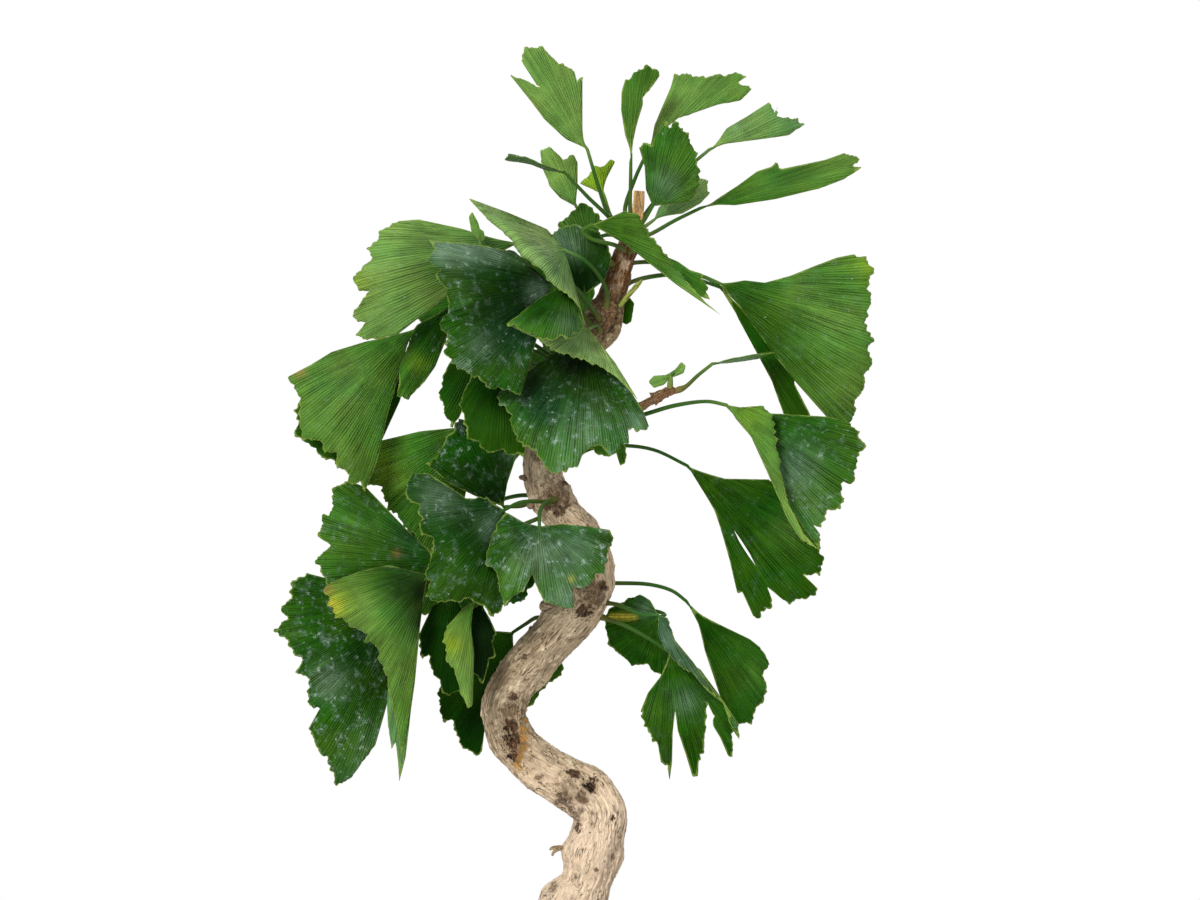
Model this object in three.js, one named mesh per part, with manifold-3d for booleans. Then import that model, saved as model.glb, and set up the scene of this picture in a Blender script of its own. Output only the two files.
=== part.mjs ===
// A ginkgo grown as a bonsai: one bent trunk with spurs and a side twig, fan leaves on long
// stalks, and soil in a plain oval-cornered pot. Millimetres, +Z up, origin under the pot's middle.

import * as THREE from "three";
import { mergeVertices } from "three/addons/utils/BufferGeometryUtils.js";
import Module from "manifold-3d";

const wasm = await Module();
wasm.setup();

// ---- driving dimensions ----
const clearance = 0.3; // between pieces that touch

const bladeThickness = 0.8;
const stalkRadius = 0.95;
const baseShare = 0.8; // how thick a stalk is where its blade begins, against its foot
const heartSearch = 80; // steps each way in the search for a blade's heart
const heartDepth = 0.3; // least depth of a heart inside the lines of the margin

const trunkSides = 12;
const growthSides = 5;
const ringsPerSpan = 2;

const potLength = 156;
const potDepth = 120;
const potHeight = 66;
const potWall = 6;
const potFloor = 8;
const potTaper = 9; // how much narrower each side is at the foot
const lipHeight = 7;
const lipReach = 2.5;
const footHeight = 6;
const footSize = 26;
const footInset = 14; // from the pot's lower edge to the middle of a foot
const drainRadius = 6;
const drainSpread = 30;
const cornerPower = 4.5; // of the superellipse that gives the pot its rounded corners
const potSegments = 36;
const footSegments = 16;

const soilRim = 4; // soil below the pot's rim at the edge
const soilDome = 7; // how much higher it stands at the trunk
const soilGrain = 0.9;

// Trunk: x, y, z of the centre line and the radius there.
const trunkPath = [
  [-5, 0, 42, 12], [-4.5, 0, 56, 14.5], [-4, 0, 67, 17.5], [-2.5, 0, 77, 15.6], [-0.8, -1, 86, 14.2],
  [1.5, -1, 91.5, 12.5], [5, -2, 99, 9.9], [7, -2, 109, 11.3], [9, -3, 118, 10.6],
  [9.7, -3, 125.5, 10.3], [4.9, -2, 132.2, 10.9], [-5.5, 0, 138.3, 9.8], [-16, 2, 145, 9.2],
  [-25, 4, 154.7, 9.3], [-28.2, 5, 165, 8.4], [-26, 5, 174, 9], [-20, 4, 182.5, 9.5],
  [-13, 2, 191, 9.3], [-5.8, 0, 198.8, 9.2], [2, -2, 207, 9.2], [5.5, -3, 216, 9.4],
  [5.8, -3, 226, 9.2], [1.8, -2, 236, 8.7], [-5.2, -1, 245, 7.9], [-11, 1, 254, 7.6],
  [-13, 3, 264, 7.6], [-11.3, 4, 277, 7.2], [-6, 4, 291, 6.8], [0, 3, 302, 6.6], [5.2, 1, 311, 6.4],
  [10, 0, 318.5, 7.4], [12, 0, 325, 7.2], [14.7, 0, 331, 5.4], [16.5, 0, 337, 4.8], [19.5, 0, 348, 4.3],
  [23, 1, 358, 3], [25, 2, 366, 2.3], [25.5, 2, 374, 2.1],
];

// Knots, scars and hollows: x, y, z of the middle, reach, and height (below zero is a hollow).
const trunkRelief = [
  [-24, -4, 158, 7, -2.6], [-24, -3, 147, 5, -2], [-31, -4, 168, 5, 1], [-1, -11, 137, 4, 1.6],
  [7, -12, 137, 4, -1.6], [1, -12, 123, 4, 1.5], [1, -10, 143, 3, -1], [-11, 3, 94, 3, 1.2],
  [17, -2, 107, 4, 1], [-3, -2, 110, 5, 1.4], [7, -11, 211, 6, 1.4], [6, -12, 206, 3, -1.6],
  [-13, -4, 207, 4, 2.6], [13, -6, 217, 3, 1.2], [-8, -8, 257, 5, 1.4], [-8, -8, 250, 3, -1.8],
  [-3, -1, 256, 3.5, 1.8], [-18, -3, 248, 4, 1.8], [16, -5, 326, 4, 1.2], [5, -5, 324, 4, 1.4],
  [9, -7, 317, 4, 1.2], [18, -3, 318, 4, 1], [24, 0, 351, 3.5, 1.2], [-4, -9, 198, 4, 0.8],
];

// Side growths of the wood: the points of each, its radius at the root and at the end.
const trunkGrowths = [
  { at: [[-4, 4, 286], [14, 0, 284.5], [27, -2, 288], [33, -2, 291.5]], root: 2.2, end: 1.6 },
  { at: [[31, -2, 290.5], [36, -2, 293], [40.5, -2, 294.5]], root: 1.9, end: 1.7 },
  { at: [[-14, 2, 259], [-19.5, 1, 259], [-22.5, 0, 259.6]], root: 1.6, end: 0.8 },
  { at: [[-14, 2, 193], [-17.5, 1, 196.5], [-17.6, 0, 200]], root: 1.3, end: 0.8 },
  { at: [[0, -2, 110], [-5, -3, 111.4], [-8, -4, 111.6], [-10.3, -5, 110.6]], root: 0.9, end: 0.6 },
  { at: [[-6, -3, 111.3], [-8.5, -6, 109.8], [-9.2, -7, 108.2]], root: 0.7, end: 0.5 },
  { at: [[14, -2, 325], [18.5, -4, 329], [23, -6, 334], [27, -7, 338.4]], root: 1.1, end: 0.9 },
  { at: [[-14, 0, 249], [-16.8, -3, 248.6], [-18.4, -5, 247.8]], root: 1.8, end: 1.3 },
  { at: [[-6, -2, 206], [-11, -3, 207.6], [-14.2, -4, 208.4]], root: 2.8, end: 1.8 },
];

// Leaves. "stalk" runs from inside the wood to the base of the blade. "rim" goes round the
// margin from one side edge to the other: x, z and, where the blade leaves its plane, an offset
// in y. "slope" is how far y changes with x and with z across the blade. "bulge" is how far its
// heart swells to -Y, and "arch" how far the middle of the margin stands to -Y of its side edges.
const leaves = [
  // top of the trunk
  {
    name: "leaf_top_tall_left",
    stalk: [[20, -1, 356], [13.5, -7, 364], [9.5, -9, 375], [5, -10, 390]],
    rim: [[-3.5, 394], [-12, 401.7], [-17.5, 409], [-26, 419.4], [-20.5, 417.6], [-14.8, 414.8],
      [-20.8, 424], [-20.3, 430.2], [-16.3, 429], [-13, 430.4], [-7, 424.3], [-0.3, 421.2], [1, 416.5],
      [3, 418.2], [3, 398]],
    slope: [0.25, -0.15], bulge: 2, arch: 3,
  },
  {
    name: "leaf_top_edge_on",
    stalk: [[20, -2, 354], [14.5, -12, 362], [5, -20, 371], [-4, -25, 380.5]],
    rim: [[-12, 382.5, -22], [-20, 386, -22], [-26, 387, -12], [-27.5, 385.5, 2], [-21, 385, 14],
      [-11, 382, 18]],
    slope: [0, 0], bulge: 0, arch: 0,
  },
  {
    name: "leaf_top_small_left",
    stalk: [[21, 3, 355], [12, 10, 361], [4, 13, 365], [0.5, 14, 368]],
    rim: [[-6, 371.5], [-10, 376], [-13.3, 384], [-14, 391], [-10.3, 392.5], [-5, 387.5], [-0.5, 389],
      [1, 386], [1, 376]],
    slope: [0.2, 0.2], bulge: 1, arch: 2,
  },
  {
    name: "leaf_top_young",
    stalk: [[22, 2, 358], [15, 5, 363], [11.5, 6, 372.5]],
    rim: [[6.5, 375], [2, 377], [5.5, 380.5], [8, 384], [11, 383.5], [14, 387], [16, 385.8],
      [12.5, 379]],
    slope: [0.1, 0.1], bulge: 1, arch: 1,
  },
  {
    name: "leaf_top_narrow",
    stalk: [[23, 0, 358], [22, -5, 367], [22.2, -6, 376], [22.3, -6, 385]],
    rim: [[20, 396], [18.4, 406], [18.6, 413], [20, 418], [23.8, 421.2], [28, 423.6], [32, 423.2],
      [34, 420], [30.6, 415], [27, 411], [27.2, 408.5], [24.5, 399.5], [23.3, 394]],
    slope: [0.3, 0], bulge: 0, arch: 2,
  },
  {
    name: "leaf_top_upright",
    stalk: [[23, 2, 358], [20, 7, 366], [24, 9, 379], [29.5, 10, 391]],
    rim: [[31.8, 400.5], [34.9, 408], [38.5, 416.3], [39.7, 420.8], [45, 422], [52, 420.4], [58, 421.9],
      [65, 422.3], [69, 420.8], [65, 418], [71.5, 416], [66.5, 411], [57, 409.2], [50, 406.7],
      [41, 403.4], [35.5, 399]],
    slope: [0.2, 0.3], bulge: 2, arch: 3,
  },
  {
    name: "leaf_top_right",
    stalk: [[24, 2, 359], [32, 11, 370], [42, 18, 381], [54, 22, 391.3]],
    rim: [[61, 400], [70, 405.3], [78.5, 410.9], [80, 406], [81.7, 408.8], [82, 405], [88, 404.2],
      [92.3, 401.6], [86, 397.3], [75, 395.7], [64, 394.2]],
    slope: [0.2, 0.1], bulge: 1, arch: 2,
  },
  {
    name: "leaf_top_front",
    stalk: [[23, -1, 356], [27, -6, 361], [31, -10, 367.5]],
    rim: [[28.3, 374], [27.8, 383], [25.4, 391], [28.5, 392.3], [30.5, 391.4], [33, 396.7], [36.5, 400],
      [38, 398.2], [39.6, 401.5], [45, 395], [47.8, 388], [49.3, 382], [49.3, 375], [45.3, 369]],
    slope: [-0.35, -0.45], bulge: 3, arch: 4,
  },
  {
    name: "leaf_top_long_right",
    stalk: [[22, -1, 354], [30, -4, 356.5], [40, -5, 362], [50, -6, 366.8]],
    rim: [[57, 370.7], [65, 376], [73, 381.9], [79, 383.9], [80.5, 386], [82, 382.7], [90, 384.4],
      [100, 386.5], [108, 389.4], [114.5, 386.6], [112, 384.5], [115, 383.6], [108, 378.8], [98, 374.9],
      [80, 370.5], [64, 368]],
    slope: [0, 0.6], bulge: 1, arch: 0,
  },
  {
    name: "leaf_top_pale_behind",
    stalk: [[23, 2, 357], [27.5, 3, 359.5], [31, 4, 362]],
    rim: [[33.5, 367.5], [38, 371], [44, 380], [49, 381], [50, 378.8], [53, 378.3], [54, 373],
      [50.5, 369.3], [43, 365]],
    slope: [0.1, 0.1], bulge: 1, arch: 1,
  },
  {
    name: "leaf_top_drooping",
    stalk: [[20, -3, 350], [15.5, -14.5, 352], [6, -17.5, 354.5], [3, -18.5, 357.5],
      [6.5, -18.5, 359.8]],
    rim: [[12, 361.8], [20, 365.3], [25, 363.8], [29, 357], [36, 348], [44, 337.5], [52, 328.5],
      [58, 323.5], [51, 328.3], [40, 336], [30, 344], [21, 351.3], [14, 355.5]],
    slope: [-0.4, 0], bulge: 2, arch: -3,
  },
  {
    name: "leaf_top_under_drooping",
    stalk: [[20.5, -2, 349], [24, -5, 350.5], [29, -7, 350.3]],
    rim: [[36, 347.6], [41, 345.5], [46, 342], [51, 340.5], [50.5, 338.5], [53, 336], [52.5, 333.5],
      [54.3, 330], [47, 332], [37, 339]],
    slope: [-0.1, 0], bulge: 1, arch: 1,
  },
  {
    name: "leaf_neck_front",
    stalk: [[10, -4, 323], [6, -11, 327], [4, -13, 332]],
    rim: [[-5, 336], [-10, 345], [-11, 355], [-5, 359.5], [3, 359.8], [10, 357], [13, 351.5],
      [14.5, 346], [12, 338]],
    slope: [0, 0.06], bulge: 2, arch: 1,
  },
  {
    name: "leaf_neck_behind",
    stalk: [[18, -1, 344], [11, -5, 346], [6, -5, 350]],
    rim: [[-5, 354], [-7, 360.5], [0, 366.5], [3, 369.2], [7, 367.5], [7.5, 365.5], [10, 364],
      [9.5, 357]],
    slope: [0, 0.12], bulge: 0, arch: 0,
  },
  {
    name: "leaf_neck_small_right",
    stalk: [[14, 1, 325], [17.5, 3, 328.8], [19.6, 4, 330]],
    rim: [[22, 331.5], [24, 328.5], [23, 325], [22.5, 321.5], [20.5, 320.5], [18.4, 321.5]],
    slope: [0, 0.1], bulge: 0, arch: 0,
  },

  // upper left
  {
    name: "leaf_upper_pale_fold",
    stalk: [[12, -4, 325], [13, -10, 332], [10, -19, 339], [4, -27, 345.5], [-4, -31, 349.5]],
    rim: [[-11, 357.7, -1], [-26, 364, -3], [-42, 369.8, -6], [-33, 360, -11], [-28, 356, -14],
      [-23, 350, -17], [-20, 345.5, -18], [-15, 342.5, -20], [-9, 336, -20], [-3, 331.5, -18],
      [2, 326.5, -16], [4.2, 319, -13], [1, 332, -7]],
    slope: [0, 0], bulge: 4, arch: 0,
  },
  {
    name: "leaf_upper_lobe",
    stalk: [[10, -5, 322], [6, -20, 328], [1, -30, 334], [-3, -38, 336]],
    rim: [[-14, 330], [-26.8, 319.8, -2], [-18, 316.5, -3], [-12, 313.3, -3], [-6, 314.7, -2],
      [-3, 313.3, -1], [4, 319]],
    slope: [0.1, 0.6], bulge: 3, arch: 2,
  },
  {
    name: "leaf_upper_dark_front",
    stalk: [[8, -3, 318], [2, -14, 326], [-3, -26, 333], [-9, -33, 336]],
    rim: [[-24, 349], [-40, 351.5, 1], [-57, 352.8, 3], [-55, 349.5, 1], [-58, 345], [-53, 341.5, -2],
      [-54.5, 338, -4], [-50.5, 333, -5], [-49.5, 327, -6], [-53, 319.3, -6], [-50, 316, -6],
      [-50.7, 309, -6], [-46, 301.5, -5], [-38, 299.5, -4], [-34, 294, -3], [-29, 294.7, -2],
      [-21, 292.3, -4], [-18, 303, -2]],
    slope: [0.3, 0.1], bulge: 5, arch: 4,
  },
  {
    name: "leaf_upper_light_left",
    stalk: [[9, -1, 322], [-2, -7, 338], [-12, -10, 350], [-22, -12, 353]],
    rim: [[-45, 358.3], [-62, 361.8], [-70, 361], [-77, 357], [-79, 353], [-82.3, 350], [-79.5, 346],
      [-84.5, 342], [-87.5, 337], [-84, 333], [-81, 332.8], [-88.5, 323], [-86, 321], [-82, 321],
      [-86.5, 315.5], [-80, 313.8], [-70, 316], [-60, 324], [-48, 333]],
    slope: [0.3, 0.15], bulge: 4, arch: 5,
  },
  {
    name: "leaf_upper_sprout",
    stalk: [[4, -5, 308], [-16, -17, 330], [-32, -26, 344], [-37.5, -28, 352]],
    rim: [[-41, 357], [-42, 362.5], [-40.5, 364.5], [-38.5, 361], [-37.5, 358], [-36, 357],
      [-35.5, 354]],
    slope: [0, 0], bulge: 0, arch: 0,
  },
  {
    name: "leaf_upper_dark_hanging",
    stalk: [[0, 0, 302], [-18, -5, 320], [-36, -10, 330], [-47, -12, 331]],
    rim: [[-63, 320], [-69, 305], [-70.5, 293], [-69, 290.5], [-66, 291], [-60, 297], [-55.5, 303.5],
      [-51, 315]],
    slope: [0.35, 0], bulge: 2, arch: 4,
  },
  {
    name: "leaf_upper_broad_left",
    stalk: [[-1, 3, 301], [-20, 3, 314.6], [-44, 3.5, 321.6], [-63.5, 2.5, 319]],
    rim: [[-84, 313.5], [-97, 309.4], [-105, 304.3], [-113.5, 299.7], [-112.5, 296.5], [-109, 290.5],
      [-109.3, 281], [-107.5, 274.5], [-101, 273.5], [-99.5, 269], [-94.5, 269.5], [-95, 263.5],
      [-91, 262], [-88.5, 256], [-85.5, 258.5], [-83.7, 253], [-78.5, 266], [-74.5, 285], [-69, 304]],
    slope: [0.28, 0.25], bulge: 4.2, arch: 5,
  },
  {
    name: "leaf_upper_broad_behind",
    stalk: [[-2, 5, 296], [-22, 8, 308], [-44, 9, 314], [-62, 8, 312]],
    rim: [[-84, 306], [-100, 298], [-109, 291], [-111.5, 286], [-109.5, 281], [-112.3, 276],
      [-108, 273.8], [-103, 270.5], [-100, 266.5], [-97, 266.5], [-94, 263], [-87, 262], [-78, 272],
      [-70, 290]],
    slope: [0.3, 0.25], bulge: 4, arch: 3,
  },
  {
    name: "leaf_upper_front_middle",
    stalk: [[8, -3, 313], [6, -13, 316], [4, -22, 317]],
    rim: [[-14, 305], [-30, 293], [-30.5, 288.5], [-25, 284.5], [-25, 279], [-22, 273.5], [-15, 270],
      [-12, 264], [-8.5, 261], [1, 263], [3, 268], [5, 271], [10, 271.8], [14, 268], [17.5, 271.5],
      [21.5, 273.5], [21, 279], [26, 277], [29.5, 279], [27, 286], [16.5, 302]],
    slope: [0, 0.5], bulge: 5, arch: 4,
  },
  {
    name: "leaf_upper_front_fold",
    stalk: [[10, -5, 317], [9, -16, 320], [5.5, -28, 318.3]],
    rim: [[-8, 322, -8], [-26, 319.5, -3], [-15, 314, -2], [-8, 309, -1], [0, 307], [6, 304.5],
      [10, 303], [16, 299.5, -1], [21.5, 294, -1], [26.3, 287.5, -1], [19, 304.5, -3]],
    slope: [0.7, 0.95], bulge: 0, arch: 0,
  },
  {
    name: "leaf_upper_under_middle",
    stalk: [[-6, 2, 289], [2, -4, 290], [8, -9, 287], [10, -11, 283]],
    rim: [[3, 277], [3, 270.5], [7, 271], [10, 268], [13.5, 267.5], [16, 270.5], [18, 264], [20, 265],
      [20.5, 271], [17, 278]],
    slope: [0, 0.2], bulge: 0, arch: 0,
  },
  {
    name: "leaf_upper_low_left",
    stalk: [[0, -1, 301], [-17, -9, 310], [-36, -15, 314]],
    rim: [[-48, 308], [-53, 299], [-53.5, 290], [-51, 284], [-48.8, 279.7], [-46, 283], [-43, 290],
      [-38, 302]],
    slope: [0.1, 0.1], bulge: 1, arch: 1,
  },
  {
    name: "leaf_upper_low_middle",
    stalk: [[-3, -2, 295], [-16, -16, 304], [-29, -24, 307]],
    rim: [[-40, 302], [-45, 291], [-44, 280], [-42, 275], [-38, 273], [-35, 269], [-30, 270],
      [-24, 268], [-20, 268], [-18, 280], [-20, 294]],
    slope: [0, 0.2], bulge: 2, arch: 2,
  },

  // middle left
  {
    name: "leaf_middle_light_behind",
    stalk: [[-12, 4, 270], [-20, 6, 280], [-38, 4, 280.5]],
    rim: [[-50, 279], [-62, 277.8], [-80, 273.5], [-84, 266], [-83, 256], [-77, 255.5], [-77, 251],
      [-74.5, 249.5], [-75, 246], [-70, 244], [-68.5, 239], [-63, 236], [-58, 229], [-50, 234],
      [-44, 252]],
    slope: [0.05, -0.05], bulge: 3, arch: 3,
  },
  {
    name: "leaf_middle_dark_behind",
    stalk: [[-13, 3, 254], [-20, -1, 248.3], [-28.5, -4, 247.6]],
    rim: [[-40, 252], [-50, 257], [-59, 264.5], [-55, 268], [-51, 275], [-46, 283], [-40, 280],
      [-33, 279], [-26, 275], [-21.5, 269], [-24, 266], [-27, 257]],
    slope: [0.1, -0.15], bulge: 2, arch: 2,
  },
  {
    name: "leaf_middle_star_left",
    stalk: [[-8, -3, 249], [-15, -13, 249.8], [-22, -18, 249.4], [-28, -20, 246.5]],
    rim: [[-33, 249.5], [-35, 252], [-43, 251], [-50, 256], [-58, 261], [-65, 261], [-67, 255.5],
      [-66, 250], [-61, 248.5], [-61.5, 243], [-60.5, 237], [-55.5, 236], [-56.5, 229], [-59, 220.5],
      [-57, 219], [-59, 212], [-50, 209.5], [-42, 211.5], [-38, 210], [-33, 203.7], [-28, 208.5],
      [-21, 210], [-18, 215], [-15.5, 219], [-21, 233]],
    slope: [0.2, 0.15], bulge: 3, arch: 3,
  },
  {
    name: "leaf_middle_star_right",
    stalk: [[-7, -4, 251], [-12, -16, 249], [-14, -24, 245], [-14, -27, 240]],
    rim: [[-20, 241.5], [-27, 245.5], [-31, 241], [-34, 233], [-36, 225], [-31, 223], [-30, 217],
      [-28, 208], [-24, 213], [-20, 215], [-17, 221], [-14, 214], [-12, 210], [-8, 209], [0, 207.5],
      [-1, 216], [6, 216], [8, 221], [12, 222], [13, 229], [15, 234], [14.5, 238.5], [5, 240],
      [-5, 241]],
    slope: [0, 0.3], bulge: 3, arch: 2,
  },
  {
    name: "leaf_middle_broad_left",
    stalk: [[0, 0, 236], [-20, -2, 238], [-38, -6, 233], [-52, -9, 226.5]],
    rim: [[-66, 237.5], [-83, 255.3], [-87, 257], [-91, 258.3], [-95.5, 255.5], [-97, 252], [-96, 246],
      [-100, 244], [-102, 236], [-97.5, 232.5], [-103.5, 226.5], [-100, 221], [-98, 215], [-88, 214],
      [-72, 218]],
    slope: [0.1, 0], bulge: 3, arch: 3,
  },
  {
    name: "leaf_middle_pale_curled",
    stalk: [[0, -2, 230], [-18, -8, 230], [-40, -15, 226], [-58, -18, 220.5]],
    rim: [[-74, 224.5, 2], [-86, 222, 3], [-96, 218, 4], [-100, 215.3, 4], [-98, 210, 2], [-95, 204],
      [-90, 202.3], [-87, 199.3], [-82.5, 198], [-83, 194.5], [-79, 193.5], [-77, 187], [-74, 178],
      [-71, 164], [-68.5, 148], [-66, 160], [-63.5, 178], [-61.5, 200]],
    slope: [0.15, 0.1], bulge: 6, arch: 5,
  },
  {
    name: "leaf_middle_pale_behind",
    stalk: [[-5, 1, 243], [-24, 3, 230], [-48, -1, 220], [-64, -6, 208]],
    rim: [[-73, 190], [-75, 170], [-74.5, 160], [-73, 151], [-71.5, 154], [-70.5, 146], [-70, 138],
      [-67.5, 148], [-65, 170]],
    slope: [0.05, 0.05], bulge: 1, arch: 1,
  },
  {
    name: "leaf_middle_dark_spotted",
    stalk: [[-7, 2, 246], [-28, 7, 237], [-52, 6, 222], [-70, 4, 206]],
    rim: [[-88, 216], [-107, 221], [-113, 217.5], [-113.5, 211], [-117.5, 208], [-115, 203],
      [-119.8, 198], [-115, 194], [-113, 189], [-108.5, 186], [-112.3, 181], [-106, 179], [-107, 168],
      [-102, 167], [-106.5, 159], [-103, 150], [-99, 147], [-95.5, 136], [-90, 138.5], [-86, 144],
      [-80, 152], [-76, 166], [-72, 182]],
    slope: [0.1, -0.05], bulge: 4, arch: 4,
  },
  {
    name: "leaf_middle_flap",
    stalk: [[2, -5, 226], [-14, -14, 225], [-30, -19, 219], [-40, -21, 211]],
    rim: [[-45, 207], [-51, 200], [-52, 195], [-50.5, 186], [-48, 183.5], [-45.5, 175], [-42.5, 168],
      [-40.5, 170], [-40, 190]],
    slope: [0.3, 0.1], bulge: 2, arch: 1,
  },
  {
    name: "leaf_middle_flap_dark",
    stalk: [[4, -4, 221], [-12, -8, 221.5], [-27, -11, 217], [-37, -13, 210]],
    rim: [[-42, 195], [-41, 182], [-36.5, 177], [-34, 186], [-31.5, 189], [-33, 194], [-31, 197],
      [-34, 203.5]],
    slope: [0.1, 0.1], bulge: 1, arch: 1,
  },
  {
    name: "leaf_middle_deep",
    stalk: [[1, -2, 234], [-18, -3, 229], [-38, -5, 221], [-49, -5, 214]],
    rim: [[-57, 208], [-62.5, 196], [-61.5, 187], [-58.5, 188], [-57, 182], [-54, 178], [-53, 174],
      [-50, 172], [-45, 175], [-41, 186], [-42, 202]],
    slope: [0.1, 0], bulge: 2, arch: 2,
  },
  {
    name: "leaf_middle_low",
    stalk: [[-11, 4, 202], [-15.5, 10, 203], [-20, 14, 200.3], [-25, 17, 197]],
    rim: [[-32, 197.5], [-38, 190], [-51, 179], [-55, 174], [-54.5, 164], [-52.5, 161], [-49, 161],
      [-48, 156], [-45, 150.5], [-42, 150.5], [-40, 147], [-37.5, 149], [-36.5, 157], [-30, 166],
      [-24, 184]],
    slope: [0, -0.02], bulge: 0, arch: 0,
  },
  {
    name: "leaf_middle_behind_trunk",
    stalk: [[-12, 5, 190], [-12, 13, 197], [-13, 17, 193.5]],
    rim: [[-6, 187.5], [-4.3, 182], [-8, 178], [-13, 174.5], [-17, 168], [-22, 164], [-26, 175]],
    slope: [0, 0.05], bulge: 0, arch: 0,
  },

  // right
  {
    name: "leaf_right_broad",
    stalk: [[16.5, 1, 334], [25, 4, 338.5], [38, 5, 340.7], [50, 5, 340.2], [57, 5, 337.5]],
    rim: [[68, 338.3], [76, 337.3], [86, 340], [96, 344], [105, 347.4], [112, 348.7], [116, 347],
      [119.8, 342], [117, 336.5], [119, 329], [116, 321.5], [119.3, 315], [117, 310.5], [119, 306],
      [116.5, 302], [115.5, 294], [112, 290.5], [113, 286], [109.5, 280.5], [101, 283.5], [89, 297],
      [80, 308]],
    slope: [0, -0.1], bulge: 3, arch: 4,
  },
  {
    name: "leaf_right_broad_lobe",
    stalk: [[16, 3, 334], [25, 9.5, 338.5], [38, 11, 340.7], [50, 11, 340.2], [57, 10, 337.3]],
    rim: [[65.5, 323], [72, 311], [79, 298], [84, 284], [88, 276], [93, 279], [94.5, 284.5], [88, 297],
      [79, 310]],
    slope: [0, -0.05], bulge: 1, arch: 0,
  },
  {
    name: "leaf_right_folded",
    stalk: [[-5, 5, 285], [10, 8, 281], [26, 6, 284.2], [40, 3, 288.2], [53, 1, 289.7],
      [60.5, 0, 288.2]],
    rim: [[76, 285], [85, 284.6], [102, 283.5], [110, 281], [112.5, 278], [115.5, 271.5], [112, 265],
      [111, 258], [106.5, 256.5], [107.3, 250], [105.5, 247], [101, 246.5], [98.5, 239.5], [95, 240.5],
      [98, 236.5], [97, 231], [82, 252]],
    slope: [-0.15, 0.05], bulge: 3, arch: 3,
  },
  {
    name: "leaf_right_fold",
    stalk: [[-4, 2, 284], [10, 2, 280.5], [26, 1.5, 284], [40, -2, 288], [53, -4, 289.7],
      [60.5, -6, 288.3]],
    rim: [[66, 287.3], [75, 288], [78, 285.5], [80, 276], [82, 262], [85, 249], [91, 237], [97, 230.5],
      [90, 234.5], [84.5, 243], [77.5, 259.5], [70.3, 275.5], [64, 283]],
    slope: [-0.2, 0.1], bulge: 2, arch: 1,
  },
  {
    name: "leaf_right_split",
    stalk: [[-10, 4, 266], [0, 4, 268.3], [8, 4, 271.3], [21, 4, 272], [32, 5, 270.2], [45, 6, 264]],
    rim: [[60, 258.8], [78, 258.5], [88, 248], [96, 237], [99.5, 226], [98, 220], [91.5, 220.5],
      [97, 215], [96, 211.5], [90, 210.5], [86, 209], [83, 210.5], [77, 215.5], [79.3, 209.5],
      [78, 206.5], [74.5, 205.5], [74, 203], [71.5, 203.5], [67, 213.5], [65, 213], [62, 226]],
    slope: [0.05, 0], bulge: 2, arch: 2,
  },
  {
    name: "leaf_twig_tiny",
    stalk: [[38, -2, 294], [38, -3, 296.5], [38.4, -3.5, 299.3]],
    rim: [[35.5, 296.3], [31.5, 295], [29.3, 297.5], [31.5, 300], [36.5, 300.3], [40, 302.5],
      [42.5, 305.6], [44.3, 304], [43.5, 301], [40, 299.6]],
    slope: [0, 0], bulge: 0, arch: 0,
  },
  {
    name: "leaf_twig_edge_on",
    stalk: [[39, -2, 293.5], [44, -1, 295.5], [49, 0, 300], [55, 0, 304.8]],
    rim: [[62, 306.6, -11], [71, 308.3, -13], [78, 309.3, -8], [80, 309, 0], [77, 308, 8],
      [70, 306.6, 12], [61, 305.4, 9]],
    slope: [0, 0], bulge: 0, arch: 0,
  },
  {
    name: "leaf_low_right_single",
    stalk: [[8, 0, 217], [16, 3, 217], [30, 5, 216.4], [39, 7, 213.8], [44.5, 8, 209.8]],
    rim: [[59, 199.8], [70, 194.5], [74.5, 191], [78, 184.5], [75.5, 180], [77, 174.5], [73.5, 167],
      [70.5, 160], [67.5, 161.5], [64, 159.8], [58, 172], [52, 190]],
    slope: [0.05, 0], bulge: 2, arch: 3,
  },
  {
    name: "leaf_low_right_lobed",
    stalk: [[8, -3, 204.5], [20, -9, 200.2], [30, -11, 194.8], [38, -12, 189.5]],
    rim: [[34, 180], [29, 173.5], [26, 166], [27.5, 161], [30.5, 155], [33, 153.5], [34.3, 145.5],
      [36.8, 144.5], [37.7, 138.7], [38.7, 146], [39, 158], [39.9, 166.5], [41, 158.5], [44.5, 148],
      [46.5, 141.2], [49, 140.3], [49.3, 146.5], [51.5, 151], [52.3, 161], [52.5, 170], [55, 165],
      [55, 160.5], [58, 155.5], [61, 148.5], [63, 147.5], [62.5, 155.5], [63, 160], [59.5, 170],
      [50, 183]],
    slope: [0, 0.05], bulge: 0, arch: 0,
  },
  {
    name: "leaf_low_right_fold",
    stalk: [[9, -4, 209.5], [17, -10, 208.6], [26, -15, 205], [33, -18, 204.8]],
    rim: [[33, 197], [35.5, 191.5], [40, 186], [44, 182.5], [46, 182.7], [52, 175], [59, 169.5],
      [62, 160], [65.7, 154.8], [65.3, 161], [59.8, 169.3], [54, 176.6], [46.8, 186.3], [39.8, 194.7],
      [37, 203.5]],
    slope: [0.05, 0.05], bulge: 1, arch: 0,
  },
  {
    name: "leaf_low_right_dark",
    stalk: [[8, -1, 209], [15, 1.6, 208.8], [26, 4, 206.5], [33.5, 4.2, 205.5], [36, 1.5, 204.4],
      [34, -1.5, 203.6]],
    rim: [[32.5, 206], [30, 210.3], [26, 212.6], [20, 210.3], [14.5, 207.3], [11.5, 203], [12.8, 197],
      [13, 192.5], [16, 190], [20.5, 186.5], [22.5, 184], [29, 184.8], [30.5, 182.5], [33.5, 180.7],
      [37, 181], [38, 192]],
    slope: [0, -0.05], bulge: 1, arch: 0,
  },

  // behind, out of sight from the front
  {
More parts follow.
